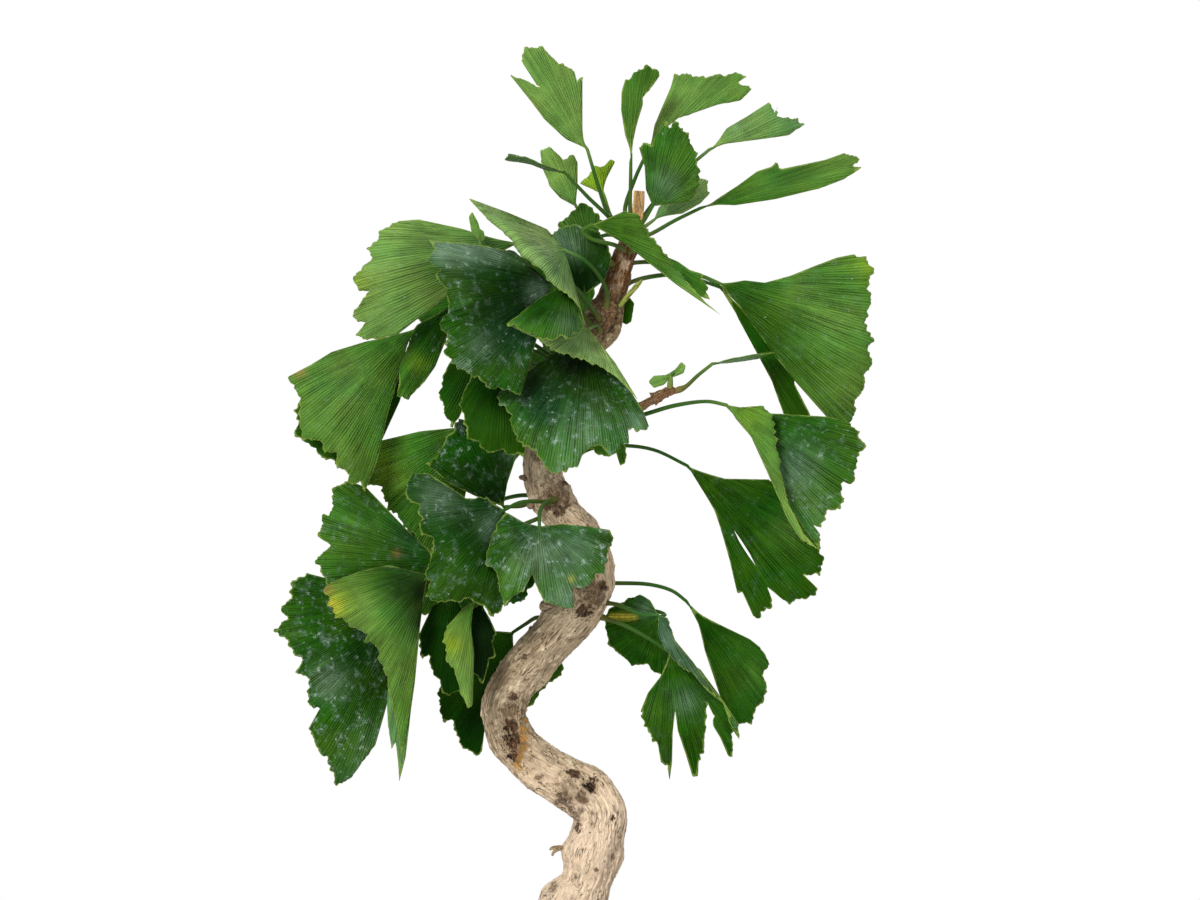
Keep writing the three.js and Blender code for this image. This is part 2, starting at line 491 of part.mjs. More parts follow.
    name: "leaf_back_upper_left",
    stalk: [[-5, 6, 292], [-12, 26, 312], [-20, 38, 330], [-28, 44, 336]],
    rim: [[-52, 348], [-64, 342], [-62, 334], [-70, 328], [-60, 320], [-48, 322], [-42, 314],
      [-34, 312], [-22, 316]],
    slope: [-0.2, -0.3], bulge: -4, arch: -4,
  },
  {
    name: "leaf_back_upper_right",
    stalk: [[5, 4, 308], [10, 22, 314], [4, 34, 318], [-4, 40.5, 316]],
    rim: [[-28, 306], [-30, 292], [-22, 284], [-18, 276], [-8, 278], [2, 274], [12, 284], [14, 296],
      [6, 306]],
    slope: [0, -0.4], bulge: -4, arch: -4,
  },
  {
    name: "leaf_back_top",
    stalk: [[21, 3, 352], [18, 18, 356], [12, 28, 357], [4, 34, 354]],
    rim: [[-16, 356], [-24, 346], [-20, 338], [-26, 330], [-16, 322], [-6, 324], [4, 322], [8, 334]],
    slope: [0, -0.5], bulge: -4, arch: -4,
  },
  {
    name: "leaf_back_middle_left",
    stalk: [[-8, 3, 250], [-22, 22, 252], [-34, 34, 248], [-42, 38, 240]],
    rim: [[-62, 242], [-72, 232], [-70, 222], [-76, 214], [-66, 202], [-56, 204], [-48, 198],
      [-38, 206], [-34, 222]],
    slope: [-0.1, -0.35], bulge: -4, arch: -4,
  },
  {
    name: "leaf_back_right",
    stalk: [[19, 1, 345], [33, 14, 345.5], [46, 26, 340.5], [59, 34, 336]],
    rim: [[86, 336], [98, 330], [100, 320], [106, 312], [98, 302], [92, 304], [84, 300], [78, 310]],
    slope: [0.36, -0.3], bulge: -4, arch: -4,
  },
];

// ---- solids ----

function solidOf(geometry) {
  geometry.deleteAttribute("normal");
  geometry.deleteAttribute("uv");
  const merged = mergeVertices(geometry, 1e-4);
  const vertProperties = new Float32Array(merged.attributes.position.array);
  const triVerts = new Uint32Array(merged.index.array);
  return new wasm.Manifold(new wasm.Mesh({ numProp: 3, vertProperties, triVerts }));
}

// The largest of the pieces a solid is in, without the crumbs that a cut leaves.
function mainPiece(solid) {
  return solid.decompose().reduce((best, piece) => (piece.volume() > best.volume() ? piece : best));
}

function meshOf(solid, name, material) {
  const data = solid.getMesh();
  const geometry = new THREE.BufferGeometry();
  geometry.setAttribute("position", new THREE.BufferAttribute(data.vertProperties, 3));
  geometry.setIndex(new THREE.BufferAttribute(data.triVerts, 1));
  geometry.computeVertexNormals();
  const mesh = new THREE.Mesh(geometry, material);
  mesh.name = name;
  return mesh;
}

// Rings of points, each with as many points as the next, joined into one closed surface.
function ringSolid(rings) {
  const sides = rings[0].length;
  const points = rings.flat();
  const indices = [];
  for (let ring = 0; ring + 1 < rings.length; ring++) {
    for (let side = 0; side < sides; side++) {
      const a = ring * sides + side;
      const b = ring * sides + ((side + 1) % sides);
      indices.push(a, b, b + sides, a, b + sides, a + sides);
    }
  }
  for (const [ring, flip] of [[0, true], [rings.length - 1, false]]) {
    const middle = new THREE.Vector3();
    for (const point of rings[ring]) middle.add(point);
    points.push(middle.divideScalar(sides));
    for (let side = 0; side < sides; side++) {
      const a = ring * sides + side;
      const b = ring * sides + ((side + 1) % sides);
      indices.push(...(flip ? [b, a] : [a, b]), points.length - 1);
    }
  }
  const geometry = new THREE.BufferGeometry().setFromPoints(points);
  geometry.setIndex(indices);
  return solidOf(geometry);
}

// ---- trunk ----

function reliefAt(point) {
  let height = 0;
  for (const [x, y, z, reach, rise] of trunkRelief) {
    const distance = point.distanceTo(new THREE.Vector3(x, y, z));
    height += rise * Math.exp(-((distance / reach) ** 2));
  }
  return height;
}

function barkFurrows(angle, along) {
  return 0.3 * Math.sin(3 * angle + 0.7 * along) + 0.2 * Math.sin(5 * angle - 1.3 * along);
}

function trunkRings(grow) {
  const curve = new THREE.CatmullRomCurve3(trunkPath.map(([x, y, z]) => new THREE.Vector3(x, y, z)));
  const spans = trunkPath.length - 1;
  const count = spans * ringsPerSpan;
  const side = new THREE.Vector3(0, 1, 0);
  const rings = [];
  for (let i = 0; i <= count; i++) {
    const t = i / count;
    const centre = curve.getPoint(t);
    const ahead = curve.getPoint(Math.min(t + 1 / spans, 1));
    const tangent = ahead.sub(curve.getPoint(Math.max(t - 1 / spans, 0)));
    tangent.normalize();
    side.addScaledVector(tangent, -side.dot(tangent)).normalize();
    const across = new THREE.Vector3().crossVectors(tangent, side);
    const span = Math.min(Math.floor(t * spans), spans - 1);
    const blend = THREE.MathUtils.smoothstep(t * spans - span, 0, 1);
    const radius = THREE.MathUtils.lerp(trunkPath[span][3], trunkPath[span + 1][3], blend);
    const ring = [];
    for (let k = 0; k < trunkSides; k++) {
      const angle = (2 * Math.PI * k) / trunkSides;
      const outward = side.clone().multiplyScalar(Math.cos(angle)).addScaledVector(across, Math.sin(angle));
      const skin = centre.clone().addScaledVector(outward, radius);
      const rise = (reliefAt(skin) + barkFurrows(angle, t * spans)) * Math.min(1, radius / 5) + grow;
      ring.push(skin.addScaledVector(outward, rise));
    }
    rings.push(ring);
  }
  return rings;
}

function taperedRings(growth, grow, sides) {
  const curve = new THREE.CatmullRomCurve3(growth.at.map((at) => new THREE.Vector3(...at)));
  const count = Math.max(growth.at.length - 1, 3);
  const side = new THREE.Vector3(0, 1, 0.01);
  const rings = [];
  for (let i = 0; i <= count; i++) {
    const t = i / count;
    const tangent = curve.getTangent(t);
    side.addScaledVector(tangent, -side.dot(tangent)).normalize();
    const across = new THREE.Vector3().crossVectors(tangent, side);
    const radius = THREE.MathUtils.lerp(growth.root, growth.end, t) + grow;
    const centre = curve.getPoint(t).addScaledVector(tangent, i === count ? grow : 0);
    const ring = [];
    for (let k = 0; k < sides; k++) {
      const angle = (2 * Math.PI * k) / sides;
      const spoke = side.clone().multiplyScalar(radius * Math.cos(angle));
      ring.push(spoke.addScaledVector(across, radius * Math.sin(angle)).add(centre));
    }
    rings.push(ring);
  }
  return rings;
}

function trunkSolid(grow) {
  let wood = ringSolid(trunkRings(grow));
  for (const growth of trunkGrowths) wood = wood.add(ringSolid(taperedRings(growth, grow, growthSides)));
  return wood;
}

// ---- leaves ----

// How far a point lies inside the nearest of an outline's edges, each taken as an endless line.
function depthInside(outline, x, z) {
  const turning = Math.sign(THREE.ShapeUtils.area(outline.map(([x, z]) => ({ x, y: z }))));
  let least = Infinity;
  for (let i = 0; i < outline.length; i++) {
    const [ax, az] = outline[i];
    const [bx, bz] = outline[(i + 1) % outline.length];
    const turn = (bx - ax) * (z - az) - (bz - az) * (x - ax);
    least = Math.min(least, (turning * turn) / Math.hypot(bx - ax, bz - az));
  }
  return least;
}

// The point of a blade from which the whole margin is in sight, where its faces fan out.
function heartOf(outline) {
  const xs = outline.map(([x]) => x);
  const zs = outline.map(([, z]) => z);
  const [lowX, highX, lowZ, highZ] = [Math.min(...xs), Math.max(...xs), Math.min(...zs), Math.max(...zs)];
  let best = { depth: -Infinity };
  for (let i = 0; i <= heartSearch; i++) {
    for (let k = 0; k <= heartSearch; k++) {
      const x = lowX + ((highX - lowX) * i) / heartSearch;
      const z = lowZ + ((highZ - lowZ) * k) / heartSearch;
      const depth = depthInside(outline, x, z);
      if (depth > best.depth) best = { depth, x, z };
    }
  }
  return best;
}

// A blade's margin in space, the mean direction that its upper face looks in, and its heart, or null
// for one so deeply cut that no point sees the whole margin.
function bladeShape(leaf) {
  const base = new THREE.Vector3(...leaf.stalk.at(-1));
  const heightAt = (x, z) => base.y + leaf.slope[0] * (x - base.x) + leaf.slope[1] * (z - base.z);
  const margin = leaf.rim.map(([x, z, offset = 0], i) => {
    const arch = leaf.arch * Math.sin((Math.PI * i) / (leaf.rim.length - 1));
    return new THREE.Vector3(x, heightAt(x, z) + offset - arch, z);
  });
  const found = heartOf([[base.x, base.z], ...leaf.rim]);
  const heart = new THREE.Vector3(found.x, 0, found.z);
  let [sum, weights] = [0, 0];
  for (const point of [base, ...margin]) {
    const weight = 1 / Math.hypot(point.x - heart.x, point.z - heart.z);
    sum += weight * point.y;
    weights += weight;
  }
  heart.y = sum / weights - leaf.bulge;
  const sighted = found.depth > heartDepth;
  const middle = sighted ? heart : base;
  const upward = new THREE.Vector3();
  for (let i = 0; i + 1 < margin.length; i++) {
    const here = margin[i].clone().sub(middle);
    upward.add(margin[i + 1].clone().sub(middle).cross(here));
  }
  return { margin, heart: sighted ? heart : null, upward: upward.normalize() };
}

// Square rings along the stalk, the last at the blade's base. Each ring has its corners on the blade's
// upper side, the side of the margin's end, the under side and the side of the margin's start.
function stalkRings(leaf, upward) {
  const points = leaf.stalk.map((at) => new THREE.Vector3(...at));
  const curve = new THREE.CatmullRomCurve3(points);
  const steps = Math.max(points.length - 1, 3);
  const across = curve.getTangent(1).cross(upward);
  const rings = [];
  for (let i = steps; i >= 0; i--) {
    const tangent = curve.getTangent(i / steps);
    across.addScaledVector(tangent, -across.dot(tangent)).normalize();
    const up = new THREE.Vector3().crossVectors(across, tangent);
    const centre = curve.getPoint(i / steps);
    const radius = stalkRadius * THREE.MathUtils.lerp(1, baseShare, i / steps);
    const corners = [[up, 1], [across, 1], [up, -1], [across, -1]];
    rings.unshift(corners.map(([way, sign]) => centre.clone().addScaledVector(way, sign * radius)));
  }
  return rings;
}

// The triangles of a blade's upper face, as places in the loop that goes round it: the start of the
// margin, its points, its end and the top of the stalk, and then the heart, if it has one. Without a
// heart the top is taken a little way into the blade, so that no triangle closes the stalk's end.
function bladeTriangles(leaf, count, hasHeart) {
  if (hasHeart) return Array.from({ length: count }, (_, i) => [count, (i + 1) % count, i]);
  const [[beforeX, , beforeZ], [baseX, , baseZ]] = leaf.stalk.slice(-2);
  const onward = new THREE.Vector2(baseX - beforeX, baseZ - beforeZ).normalize();
  const aside = new THREE.Vector2(onward.y, -onward.x).multiplyScalar(stalkRadius * baseShare);
  const base = new THREE.Vector2(baseX, baseZ);
  const rim = leaf.rim.map(([x, z]) => new THREE.Vector2(x, z));
  const turning = Math.sign(THREE.ShapeUtils.area([base, ...rim]));
  aside.multiplyScalar(-turning);
  const loop = [base.clone().sub(aside), ...rim, base.clone().add(aside), base.addScaledVector(onward, 0.3)];
  return THREE.ShapeUtils.triangulateShape(loop, []).map(([a, b, c]) => {
    const area = THREE.ShapeUtils.area([loop[a], loop[b], loop[c]]);
    return Math.sign(area) === turning ? [a, c, b] : [a, b, c];
  });
}

// One closed surface: the stalk's rings, then two faces, a blade's thickness apart, that are joined
// all round the margin and to the last ring.
function leafSolid(leaf) {
  const { margin, heart, upward } = bladeShape(leaf);
  const rings = stalkRings(leaf, upward);
  const points = rings.flat();
  const indices = [0, 2, 1, 0, 3, 2];
  for (let ring = 0; ring + 1 < rings.length; ring++) {
    for (let k = 0; k < 4; k++) {
      const [a, b] = [ring * 4 + k, ring * 4 + ((k + 1) % 4)];
      indices.push(a, b, b + 4, a, b + 4, a + 4);
    }
  }
  const half = upward.clone().multiplyScalar(bladeThickness / 2);
  const [top, end, under, start] = [4, 3, 2, 1].map((back) => points.length - back);
  const first = points.length;
  for (const point of margin) points.push(point.clone().add(half), point.clone().sub(half));
  const upper = margin.map((_, i) => first + 2 * i);
  const lower = upper.map((index) => index + 1);
  const upperLoop = [start, ...upper, end, top];
  const lowerLoop = [start, ...lower, end, under];
  if (heart) {
    upperLoop.push(points.length);
    lowerLoop.push(points.length + 1);
    points.push(heart.clone().add(half), heart.clone().sub(half));
  }
  for (const [a, b, c] of bladeTriangles(leaf, margin.length + 3, Boolean(heart))) {
    indices.push(upperLoop[a], upperLoop[b], upperLoop[c]);
    indices.push(lowerLoop[a], lowerLoop[c], lowerLoop[b]);
  }
  for (let i = 0; i + 1 < margin.length; i++) {
    indices.push(upper[i], upper[i + 1], lower[i + 1], upper[i], lower[i + 1], lower[i]);
  }
  indices.push(start, upper[0], lower[0], end, lower.at(-1), upper.at(-1));
  const geometry = new THREE.BufferGeometry().setFromPoints(points);
  geometry.setIndex(indices);
  return solidOf(geometry);
}

// ---- pot and soil ----

function superRing(halfLength, halfDepth, z, segments = potSegments) {
  const ring = [];
  for (let k = 0; k < segments; k++) {
    const angle = (2 * Math.PI * k) / segments;
    const [cos, sin] = [Math.cos(angle), Math.sin(angle)];
    const scale = (Math.abs(cos) ** cornerPower + Math.abs(sin) ** cornerPower) ** (-1 / cornerPower);
    ring.push(new THREE.Vector3(halfLength * cos * scale, halfDepth * sin * scale, z));
  }
  return ring;
}

// Half width of the pot's side at a height, drawn in by "inset" from the outside.
function potRing(z, inset, reach = 0) {
  const narrow = potTaper * (1 - (z - footHeight) / (potHeight - footHeight));
  return superRing(potLength / 2 - narrow - inset + reach, potDepth / 2 - narrow - inset + reach, z);
}

function potSolid() {
  const lipFoot = potHeight - lipHeight;
  let pot = ringSolid([
    potRing(footHeight, 0, -2), potRing(footHeight + 2, 0), potRing(lipFoot, 0),
    potRing(lipFoot + 1, 0, lipReach), potRing(potHeight - 1, 0, lipReach),
    potRing(potHeight, 0, lipReach - 1),
  ]);
  const footX = potLength / 2 - potTaper - footInset;
  const footY = potDepth / 2 - potTaper - footInset;
  const half = footSize / 2;
  for (const [signX, signY] of [[1, 1], [-1, 1], [-1, -1], [1, -1]]) {
    const place = new THREE.Vector3(signX * footX, signY * footY, 0);
    const rings = [[0, half - 2], [footHeight + 1, half]].map(([z, size]) => {
      return superRing(size, size, z, footSegments).map((point) => point.add(place));
    });
    pot = pot.add(ringSolid(rings));
  }
  const cavity = ringSolid([
    potRing(potFloor + footHeight, potWall, -3), potRing(potFloor + footHeight + 4, potWall),
    potRing(potHeight + 2, potWall),
  ]);
  pot = pot.subtract(cavity);
  for (const side of [-1, 1]) {
    const drain = new THREE.CylinderGeometry(drainRadius, drainRadius, potFloor * 4, 16);
    drain.rotateX(Math.PI / 2).translate(side * drainSpread, 0, footHeight + potFloor / 2);
    pot = pot.subtract(solidOf(drain));
  }
  return pot;
}

function soilHeight(x, y) {
  const [atX, atY] = trunkPath[2];
  const distance = Math.hypot(x - atX, y - atY);
  const grain = Math.sin(x * 0.9 + Math.sin(y * 0.7)) * Math.cos(y * 1.1 + x * 0.2);
  return potHeight - soilRim + soilDome * Math.exp(-((distance / 34) ** 2)) + soilGrain * grain;
}

function soilSolid(trunkHole) {
  const floor = potFloor + footHeight + clearance;
  const rings = [
    potRing(floor, potWall + clearance, -3), potRing(floor + 4, potWall + clearance),
    potRing(potHeight - soilRim, potWall + clearance),
  ];
  const edge = rings.at(-1);
  for (const share of [0.86, 0.7, 0.54, 0.38, 0.22]) {
    rings.push(edge.map((point) => {
      const [x, y] = [point.x * share, point.y * share];
      return new THREE.Vector3(x, y, soilHeight(x, y));
    }));
  }
  return ringSolid(rings).subtract(trunkHole);
}

// ---- the part ----

const materials = {
  wood: new THREE.MeshStandardMaterial({ color: "#a08468", roughness: 0.9, metalness: 0 }),
  leaf: new THREE.MeshStandardMaterial({ color: "#3f7a2f", roughness: 0.55, metalness: 0 }),
  soil: new THREE.MeshStandardMaterial({ color: "#3b2c22", roughness: 1, metalness: 0 }),
  pot: new THREE.MeshStandardMaterial({ color: "#55392c", roughness: 0.8, metalness: 0 }),
};

const trunkHole = trunkSolid(clearance);
const group = new THREE.Group();
group.add(meshOf(potSolid(), "pot", materials.pot));
group.add(meshOf(soilSolid(trunkHole), "soil", materials.soil));
group.add(meshOf(trunkSolid(0), "trunk", materials.wood));
for (const leaf of leaves) {
  const solid = leafSolid(leaf).subtract(trunkHole);
  group.add(meshOf(mainPiece(solid).simplify(0.02), leaf.name, materials.leaf));
}

export default group;
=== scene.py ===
"""A ginkgo grown as a bonsai: pot, soil, one bent trunk and its fan leaves, on a plain floor."""

import math
from collections import namedtuple

import bmesh
import bpy
import numpy as np
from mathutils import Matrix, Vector, noise
from mathutils.geometry import delaunay_2d_cdt


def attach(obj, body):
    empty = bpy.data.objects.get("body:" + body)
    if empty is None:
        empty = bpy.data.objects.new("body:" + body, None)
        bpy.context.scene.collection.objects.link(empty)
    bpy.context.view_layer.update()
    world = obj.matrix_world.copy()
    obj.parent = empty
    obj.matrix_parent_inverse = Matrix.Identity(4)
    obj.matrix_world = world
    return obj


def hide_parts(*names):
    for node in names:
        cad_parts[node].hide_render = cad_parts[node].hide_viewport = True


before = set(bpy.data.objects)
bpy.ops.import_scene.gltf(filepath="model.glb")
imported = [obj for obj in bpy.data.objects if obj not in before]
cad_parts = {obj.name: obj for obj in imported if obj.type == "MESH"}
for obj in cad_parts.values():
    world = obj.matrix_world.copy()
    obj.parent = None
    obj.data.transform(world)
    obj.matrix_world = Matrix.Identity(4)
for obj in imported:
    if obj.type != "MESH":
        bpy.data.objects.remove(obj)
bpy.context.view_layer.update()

# ---- pot ----
# Stoneware pressed in a mould: an oval with square shoulders, a thickened lip, four feet and two
# drain holes. It is left unglazed, smoothed outside and rough where no hand wiped it.

MM = 0.001
POT_LENGTH = 156
POT_DEPTH = 120
POT_HEIGHT = 66
POT_TAPER = 9  # how much narrower each side is at the foot
FOOT_HEIGHT = 6
FOOT_INSET = 14  # from the pot's lower edge to the middle of a foot
CORNER_POWER = 4.5  # of the superellipse that gives the rounded corners
POT_SIDES = 160
FOOT_SIDES = 48
DRAIN_RADIUS = 6
DRAIN_SPREAD = 30  # from the middle of the pot to the middle of a drain hole
DRAIN_CUT = (-2, 20)  # heights that the hole's cutter runs between
SHARP_ANGLE = math.radians(40)

# Outside, lip and inside in one run: reach beyond the outer wall's line, and height.
POT_PROFILE = [
    (-22, 6.4), (-8, 6.2), (-3, 6), (-1.2, 6.3), (-0.3, 7.2), (0, 9), (0, 24), (0, 40), (0, 56.6),
    (0.2, 57.8), (0.9, 58.7), (1.8, 59.2), (2.4, 60), (2.5, 61.4), (2.5, 64), (2.2, 65.2), (1.3, 65.9),
    (0, 66), (-4.2, 66), (-5.4, 65.7), (-6, 64.8), (-6, 50), (-6, 30), (-6, 21), (-6.5, 17.4), (-8.4, 15),
    (-12, 14.1), (-24, 14),
]
FOOT_PROFILE = [(9, 0), (10.4, 0.2), (11.1, 0.9), (11.6, 3), (12.6, 6), (13, 7)]  # half width and height


def srgb(red, green, blue):
    """A colour from its 0 to 255 screen values."""
    def linear(value):
        value /= 255
        return value / 12.92 if value <= 0.04045 else ((value + 0.055) / 1.055) ** 2.4
    return (linear(red), linear(green), linear(blue), 1)


def angles_round(sides):
    return np.arange(sides) * 2 * math.pi / sides


def oval_ring(half_x, half_y, z, sides, centre=(0, 0)):
    """Points round an oval with square shoulders."""
    angle = angles_round(sides)
    cos, sin = np.cos(angle), np.sin(angle)
    scale = (np.abs(cos) ** CORNER_POWER + np.abs(sin) ** CORNER_POWER) ** (-1 / CORNER_POWER)
    return np.stack([centre[0] + half_x * cos * scale, centre[1] + half_y * sin * scale,
                     np.full(sides, float(z))], axis=1)


def pot_ring(reach, z):
    """The pot's outer line at a height, moved out by the reach."""
    narrow = POT_TAPER * (1 - (z - FOOT_HEIGHT) / (POT_HEIGHT - FOOT_HEIGHT))
    return oval_ring(POT_LENGTH / 2 - narrow + reach, POT_DEPTH / 2 - narrow + reach, z, POT_SIDES)


def closed_tube(rings):
    """Points and faces of a surface through rings of equal size, closed at both ends."""
    sides = len(rings[0])
    points = np.concatenate(rings + [rings[0].mean(0)[None], rings[-1].mean(0)[None]])
    faces = []
    for ring in range(len(rings) - 1):
        for side in range(sides):
            a, b = ring * sides + side, ring * sides + (side + 1) % sides
            faces.append((a, b, b + sides, a + sides))
    last = (len(rings) - 1) * sides
    for side in range(sides):
        following = (side + 1) % sides
        faces.append((following, side, len(points) - 2))
        faces.append((last + side, last + following, len(points) - 1))
    return points, faces


def mesh_of(name, points, faces):
    """A mesh in metres from points in millimetres, with its faces turned outwards."""
    mesh = bpy.data.meshes.new(name)
    mesh.from_pydata([tuple(point) for point in np.asarray(points) * MM], [], faces)
    shape = bmesh.new()
    shape.from_mesh(mesh)
    bmesh.ops.recalc_face_normals(shape, faces=shape.faces)
    shape.to_mesh(mesh)
    shape.free()
    mesh.shade_smooth()
    return mesh


def add_object(name, mesh):
    made = bpy.data.objects.new(name, mesh)
    bpy.context.scene.collection.objects.link(made)
    return made


def baked(shaped, name):
    """A plain mesh of what the object's modifiers make, as a new object in its place."""
    bpy.context.view_layer.update()
    evaluated = shaped.evaluated_get(bpy.context.evaluated_depsgraph_get())
    mesh = bpy.data.meshes.new_from_object(evaluated)
    mesh.name = name
    shaped.modifiers.clear()
    bpy.data.objects.remove(shaped)
    return add_object(name, mesh)


def finish_piece(piece, material, slot, *nodes):
    """Gives a piece its material, its place on the plant and the CAD nodes that it stands for."""
    piece.data.materials.clear()
    piece.data.materials.append(material)
    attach(piece, "root")
    if nodes:
        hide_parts(*nodes)


def new_material(name, **sockets):
    """A material, its node tree and its shader, with these values on the shader's sockets."""
    material = bpy.data.materials.new(name)
    material.use_nodes = True
    shader = material.node_tree.nodes["Principled BSDF"]
    for socket, value in sockets.items():
        shader.inputs[socket.replace("_", " ")].default_value = value
    return material, material.node_tree, shader


def wire(tree, kind, sockets=None, **settings):
    """A node with its settings, whose sockets take values or other nodes' outputs."""
    made = tree.nodes.new(kind)
    for setting, value in settings.items():
        setattr(made, setting, value)
    for socket, value in (sockets or {}).items():
        if isinstance(value, bpy.types.NodeSocket):
            tree.links.new(value, made.inputs[socket])
        else:
            made.inputs[socket].default_value = value
    return made


def maths(tree, operation, first, second=0.0, clamp=False):
    """A sum on two values or outputs."""
    return wire(tree, "ShaderNodeMath", {0: first, 1: second}, operation=operation,
                use_clamp=clamp).outputs[0]


def times(tree, first, second):
    return maths(tree, "MULTIPLY", first, second)


def object_place(tree):
    return wire(tree, "ShaderNodeTexCoord").outputs["Object"]


def eased(tree, value, low, high, start=0.0, end=1.0):
    """A value taken from low..high to start..end, held and softened at both ends."""
    return wire(tree, "ShaderNodeMapRange", {0: value, 1: low, 2: high, 3: start, 4: end},
                interpolation_type="SMOOTHSTEP").outputs[0]


def blended(tree, factor, first, second):
    """Two colours mixed by a factor."""
    mix = wire(tree, "ShaderNodeMix", {"Factor": factor}, data_type="RGBA")
    for socket, colour in ((6, first), (7, second)):
        if isinstance(colour, bpy.types.NodeSocket):
            tree.links.new(colour, mix.inputs[socket])
        else:
            mix.inputs[socket].default_value = colour
    return mix.outputs[2]


def layered(tree, colour, layers):
    """A colour under layers of others, each with how much of it shows."""
    for factor, tone in layers:
        colour = blended(tree, factor, colour, tone)
    return colour


def grain(tree, vector, scale, detail=2.0, roughness=0.5, stretch=(1, 1, 1), distortion=0.0):
    """Noise at so many grains a metre, stretched along the axes."""
    mapped = wire(tree, "ShaderNodeMapping", {"Vector": vector, "Scale": stretch}).outputs[0]
    return wire(tree, "ShaderNodeTexNoise", {"Vector": mapped, "Scale": scale, "Detail": detail,
                "Roughness": roughness, "Distortion": distortion}).outputs["Fac"]


def bumped(tree, shader, height, distance, under=None):
    """Raises the surface by a height map; the bump can lie on another one."""
    bump = wire(tree, "ShaderNodeBump", {"Height": height, "Distance": distance, "Strength": 1.0})
    if under:
        tree.links.new(under, bump.inputs["Normal"])
    tree.links.new(bump.outputs[0], shader.inputs["Normal"])
    return bump.outputs[0]


# The wall is one closed shell. The feet are joined on to it and the drain holes are cut through it.
points, faces = closed_tube([pot_ring(reach, z) for reach, z in POT_PROFILE])
pot_shell = add_object("pot_shell", mesh_of("pot_shell", points, faces))
pot_tools = []
for sign_x in (-1, 1):
    for sign_y in (-1, 1):
        centre = (sign_x * (POT_LENGTH / 2 - POT_TAPER - FOOT_INSET),
                  sign_y * (POT_DEPTH / 2 - POT_TAPER - FOOT_INSET))
        points, faces = closed_tube([oval_ring(size, size, z, FOOT_SIDES, centre)
                                     for size, z in FOOT_PROFILE])
        pot_tools.append(("UNION", add_object("foot_block", mesh_of("foot_block", points, faces))))
    circle = angles_round(FOOT_SIDES)
    points, faces = closed_tube([
        np.stack([sign_x * DRAIN_SPREAD + DRAIN_RADIUS * np.cos(circle), DRAIN_RADIUS * np.sin(circle),
                  np.full(FOOT_SIDES, float(z))], axis=1) for z in DRAIN_CUT])
    pot_tools.append(("DIFFERENCE", add_object("drain", mesh_of("drain", points, faces))))
for operation, tool in pot_tools:
    cut = pot_shell.modifiers.new("cut", "BOOLEAN")
    cut.operation = operation
    cut.object = tool
    cut.solver = "EXACT"
pot = baked(pot_shell, "pot_clay")
for operation, tool in pot_tools:
    bpy.data.objects.remove(tool)
pot.data.shade_smooth()
pot.data.set_sharp_from_angle(angle=SHARP_ANGLE)

pot_material, tree, shader = new_material("unglazed_stoneware", Roughness=0.68)
place = object_place(tree)
clouds = grain(tree, place, 26, 4, 0.6)
wiped = grain(tree, place, 140, 3, 0.6, (0.25, 0.25, 3))
grog = grain(tree, place, 1300, 1)
height = wire(tree, "ShaderNodeSeparateXYZ", {0: place}).outputs["Z"]
near_lip = eased(tree, height, 0.05, POT_HEIGHT * MM)
lime = times(tree, near_lip, eased(tree, clouds, 0.5, 0.72, 0, 0.45))
# Two clays in clouds, wiped streaks, light and dark grog, and lime from hard water near the lip.
colour = layered(tree, srgb(84, 54, 40), [
    (eased(tree, clouds, 0.35, 0.65), srgb(112, 74, 55)),
    (eased(tree, wiped, 0.5, 0.75, 0, 0.35), srgb(70, 44, 33)),
    (eased(tree, grog, 0.62, 0.72, 0, 0.6), srgb(150, 112, 86)),
    (eased(tree, grog, 0.38, 0.3, 0, 0.5), srgb(46, 30, 24)),
    (lime, srgb(176, 160, 142)),
])
tree.links.new(colour, shader.inputs["Base Color"])
tree.links.new(eased(tree, wiped, 0.3, 0.7, 0.58, 0.78), shader.inputs["Roughness"])
ridges = bumped(tree, shader, wiped, 0.0004)
bumped(tree, shader, grog, 0.00025, under=ridges)
finish_piece(pot, pot_material, "pot", "pot")

# ---- soil ----
# A bed of fired clay, pumice and lava grains, heaped to the foot of the trunk. The fine bed is one
# piece, and the coarse grains on its surface are another.

SOIL_EDGE = POT_HEIGHT - 5  # height of the soil at the pot's wall
SOIL_DOME = 7  # how much higher it stands at the trunk
DOME_REACH = 34
LUMP_HEIGHT = 0.7
POT_WALL = 6
SOIL_GAP = 0.3
SOIL_BOTTOM = [(-5, 14.6), (-1, 17), (0, 22)]  # reach beyond the bed's side, and height
SOIL_RINGS = 56
FULL_TURN = 6.28
TRUNK_FOOT = (-4, 0)
# Where each sort of grain begins on a scale from 0 to 1, and its tone.
GRAIN_SORTS = [(0, srgb(92, 62, 42)), (0.3, srgb(126, 88, 56)), (0.52, srgb(62, 46, 38)),
               (0.7, srgb(44, 36, 34)), (0.84, srgb(150, 138, 118)), (0.93, srgb(104, 72, 50))]


def soil_height(x, y):
    """The heaped and lumpy top of the soil."""
    distance = np.hypot(x - TRUNK_FOOT[0], y - TRUNK_FOOT[1])
    lumps = np.sin(x * 0.9 + np.sin(y * 0.7)) * np.cos(y * 1.1 + x * 0.2)
    return SOIL_EDGE + SOIL_DOME * np.exp(-((distance / DOME_REACH) ** 2)) + LUMP_HEIGHT * lumps


def attribute(tree, name, output="Vector"):
    """What the mesh keeps under a name."""
    return wire(tree, "ShaderNodeAttribute", attribute_name=name).outputs[output]


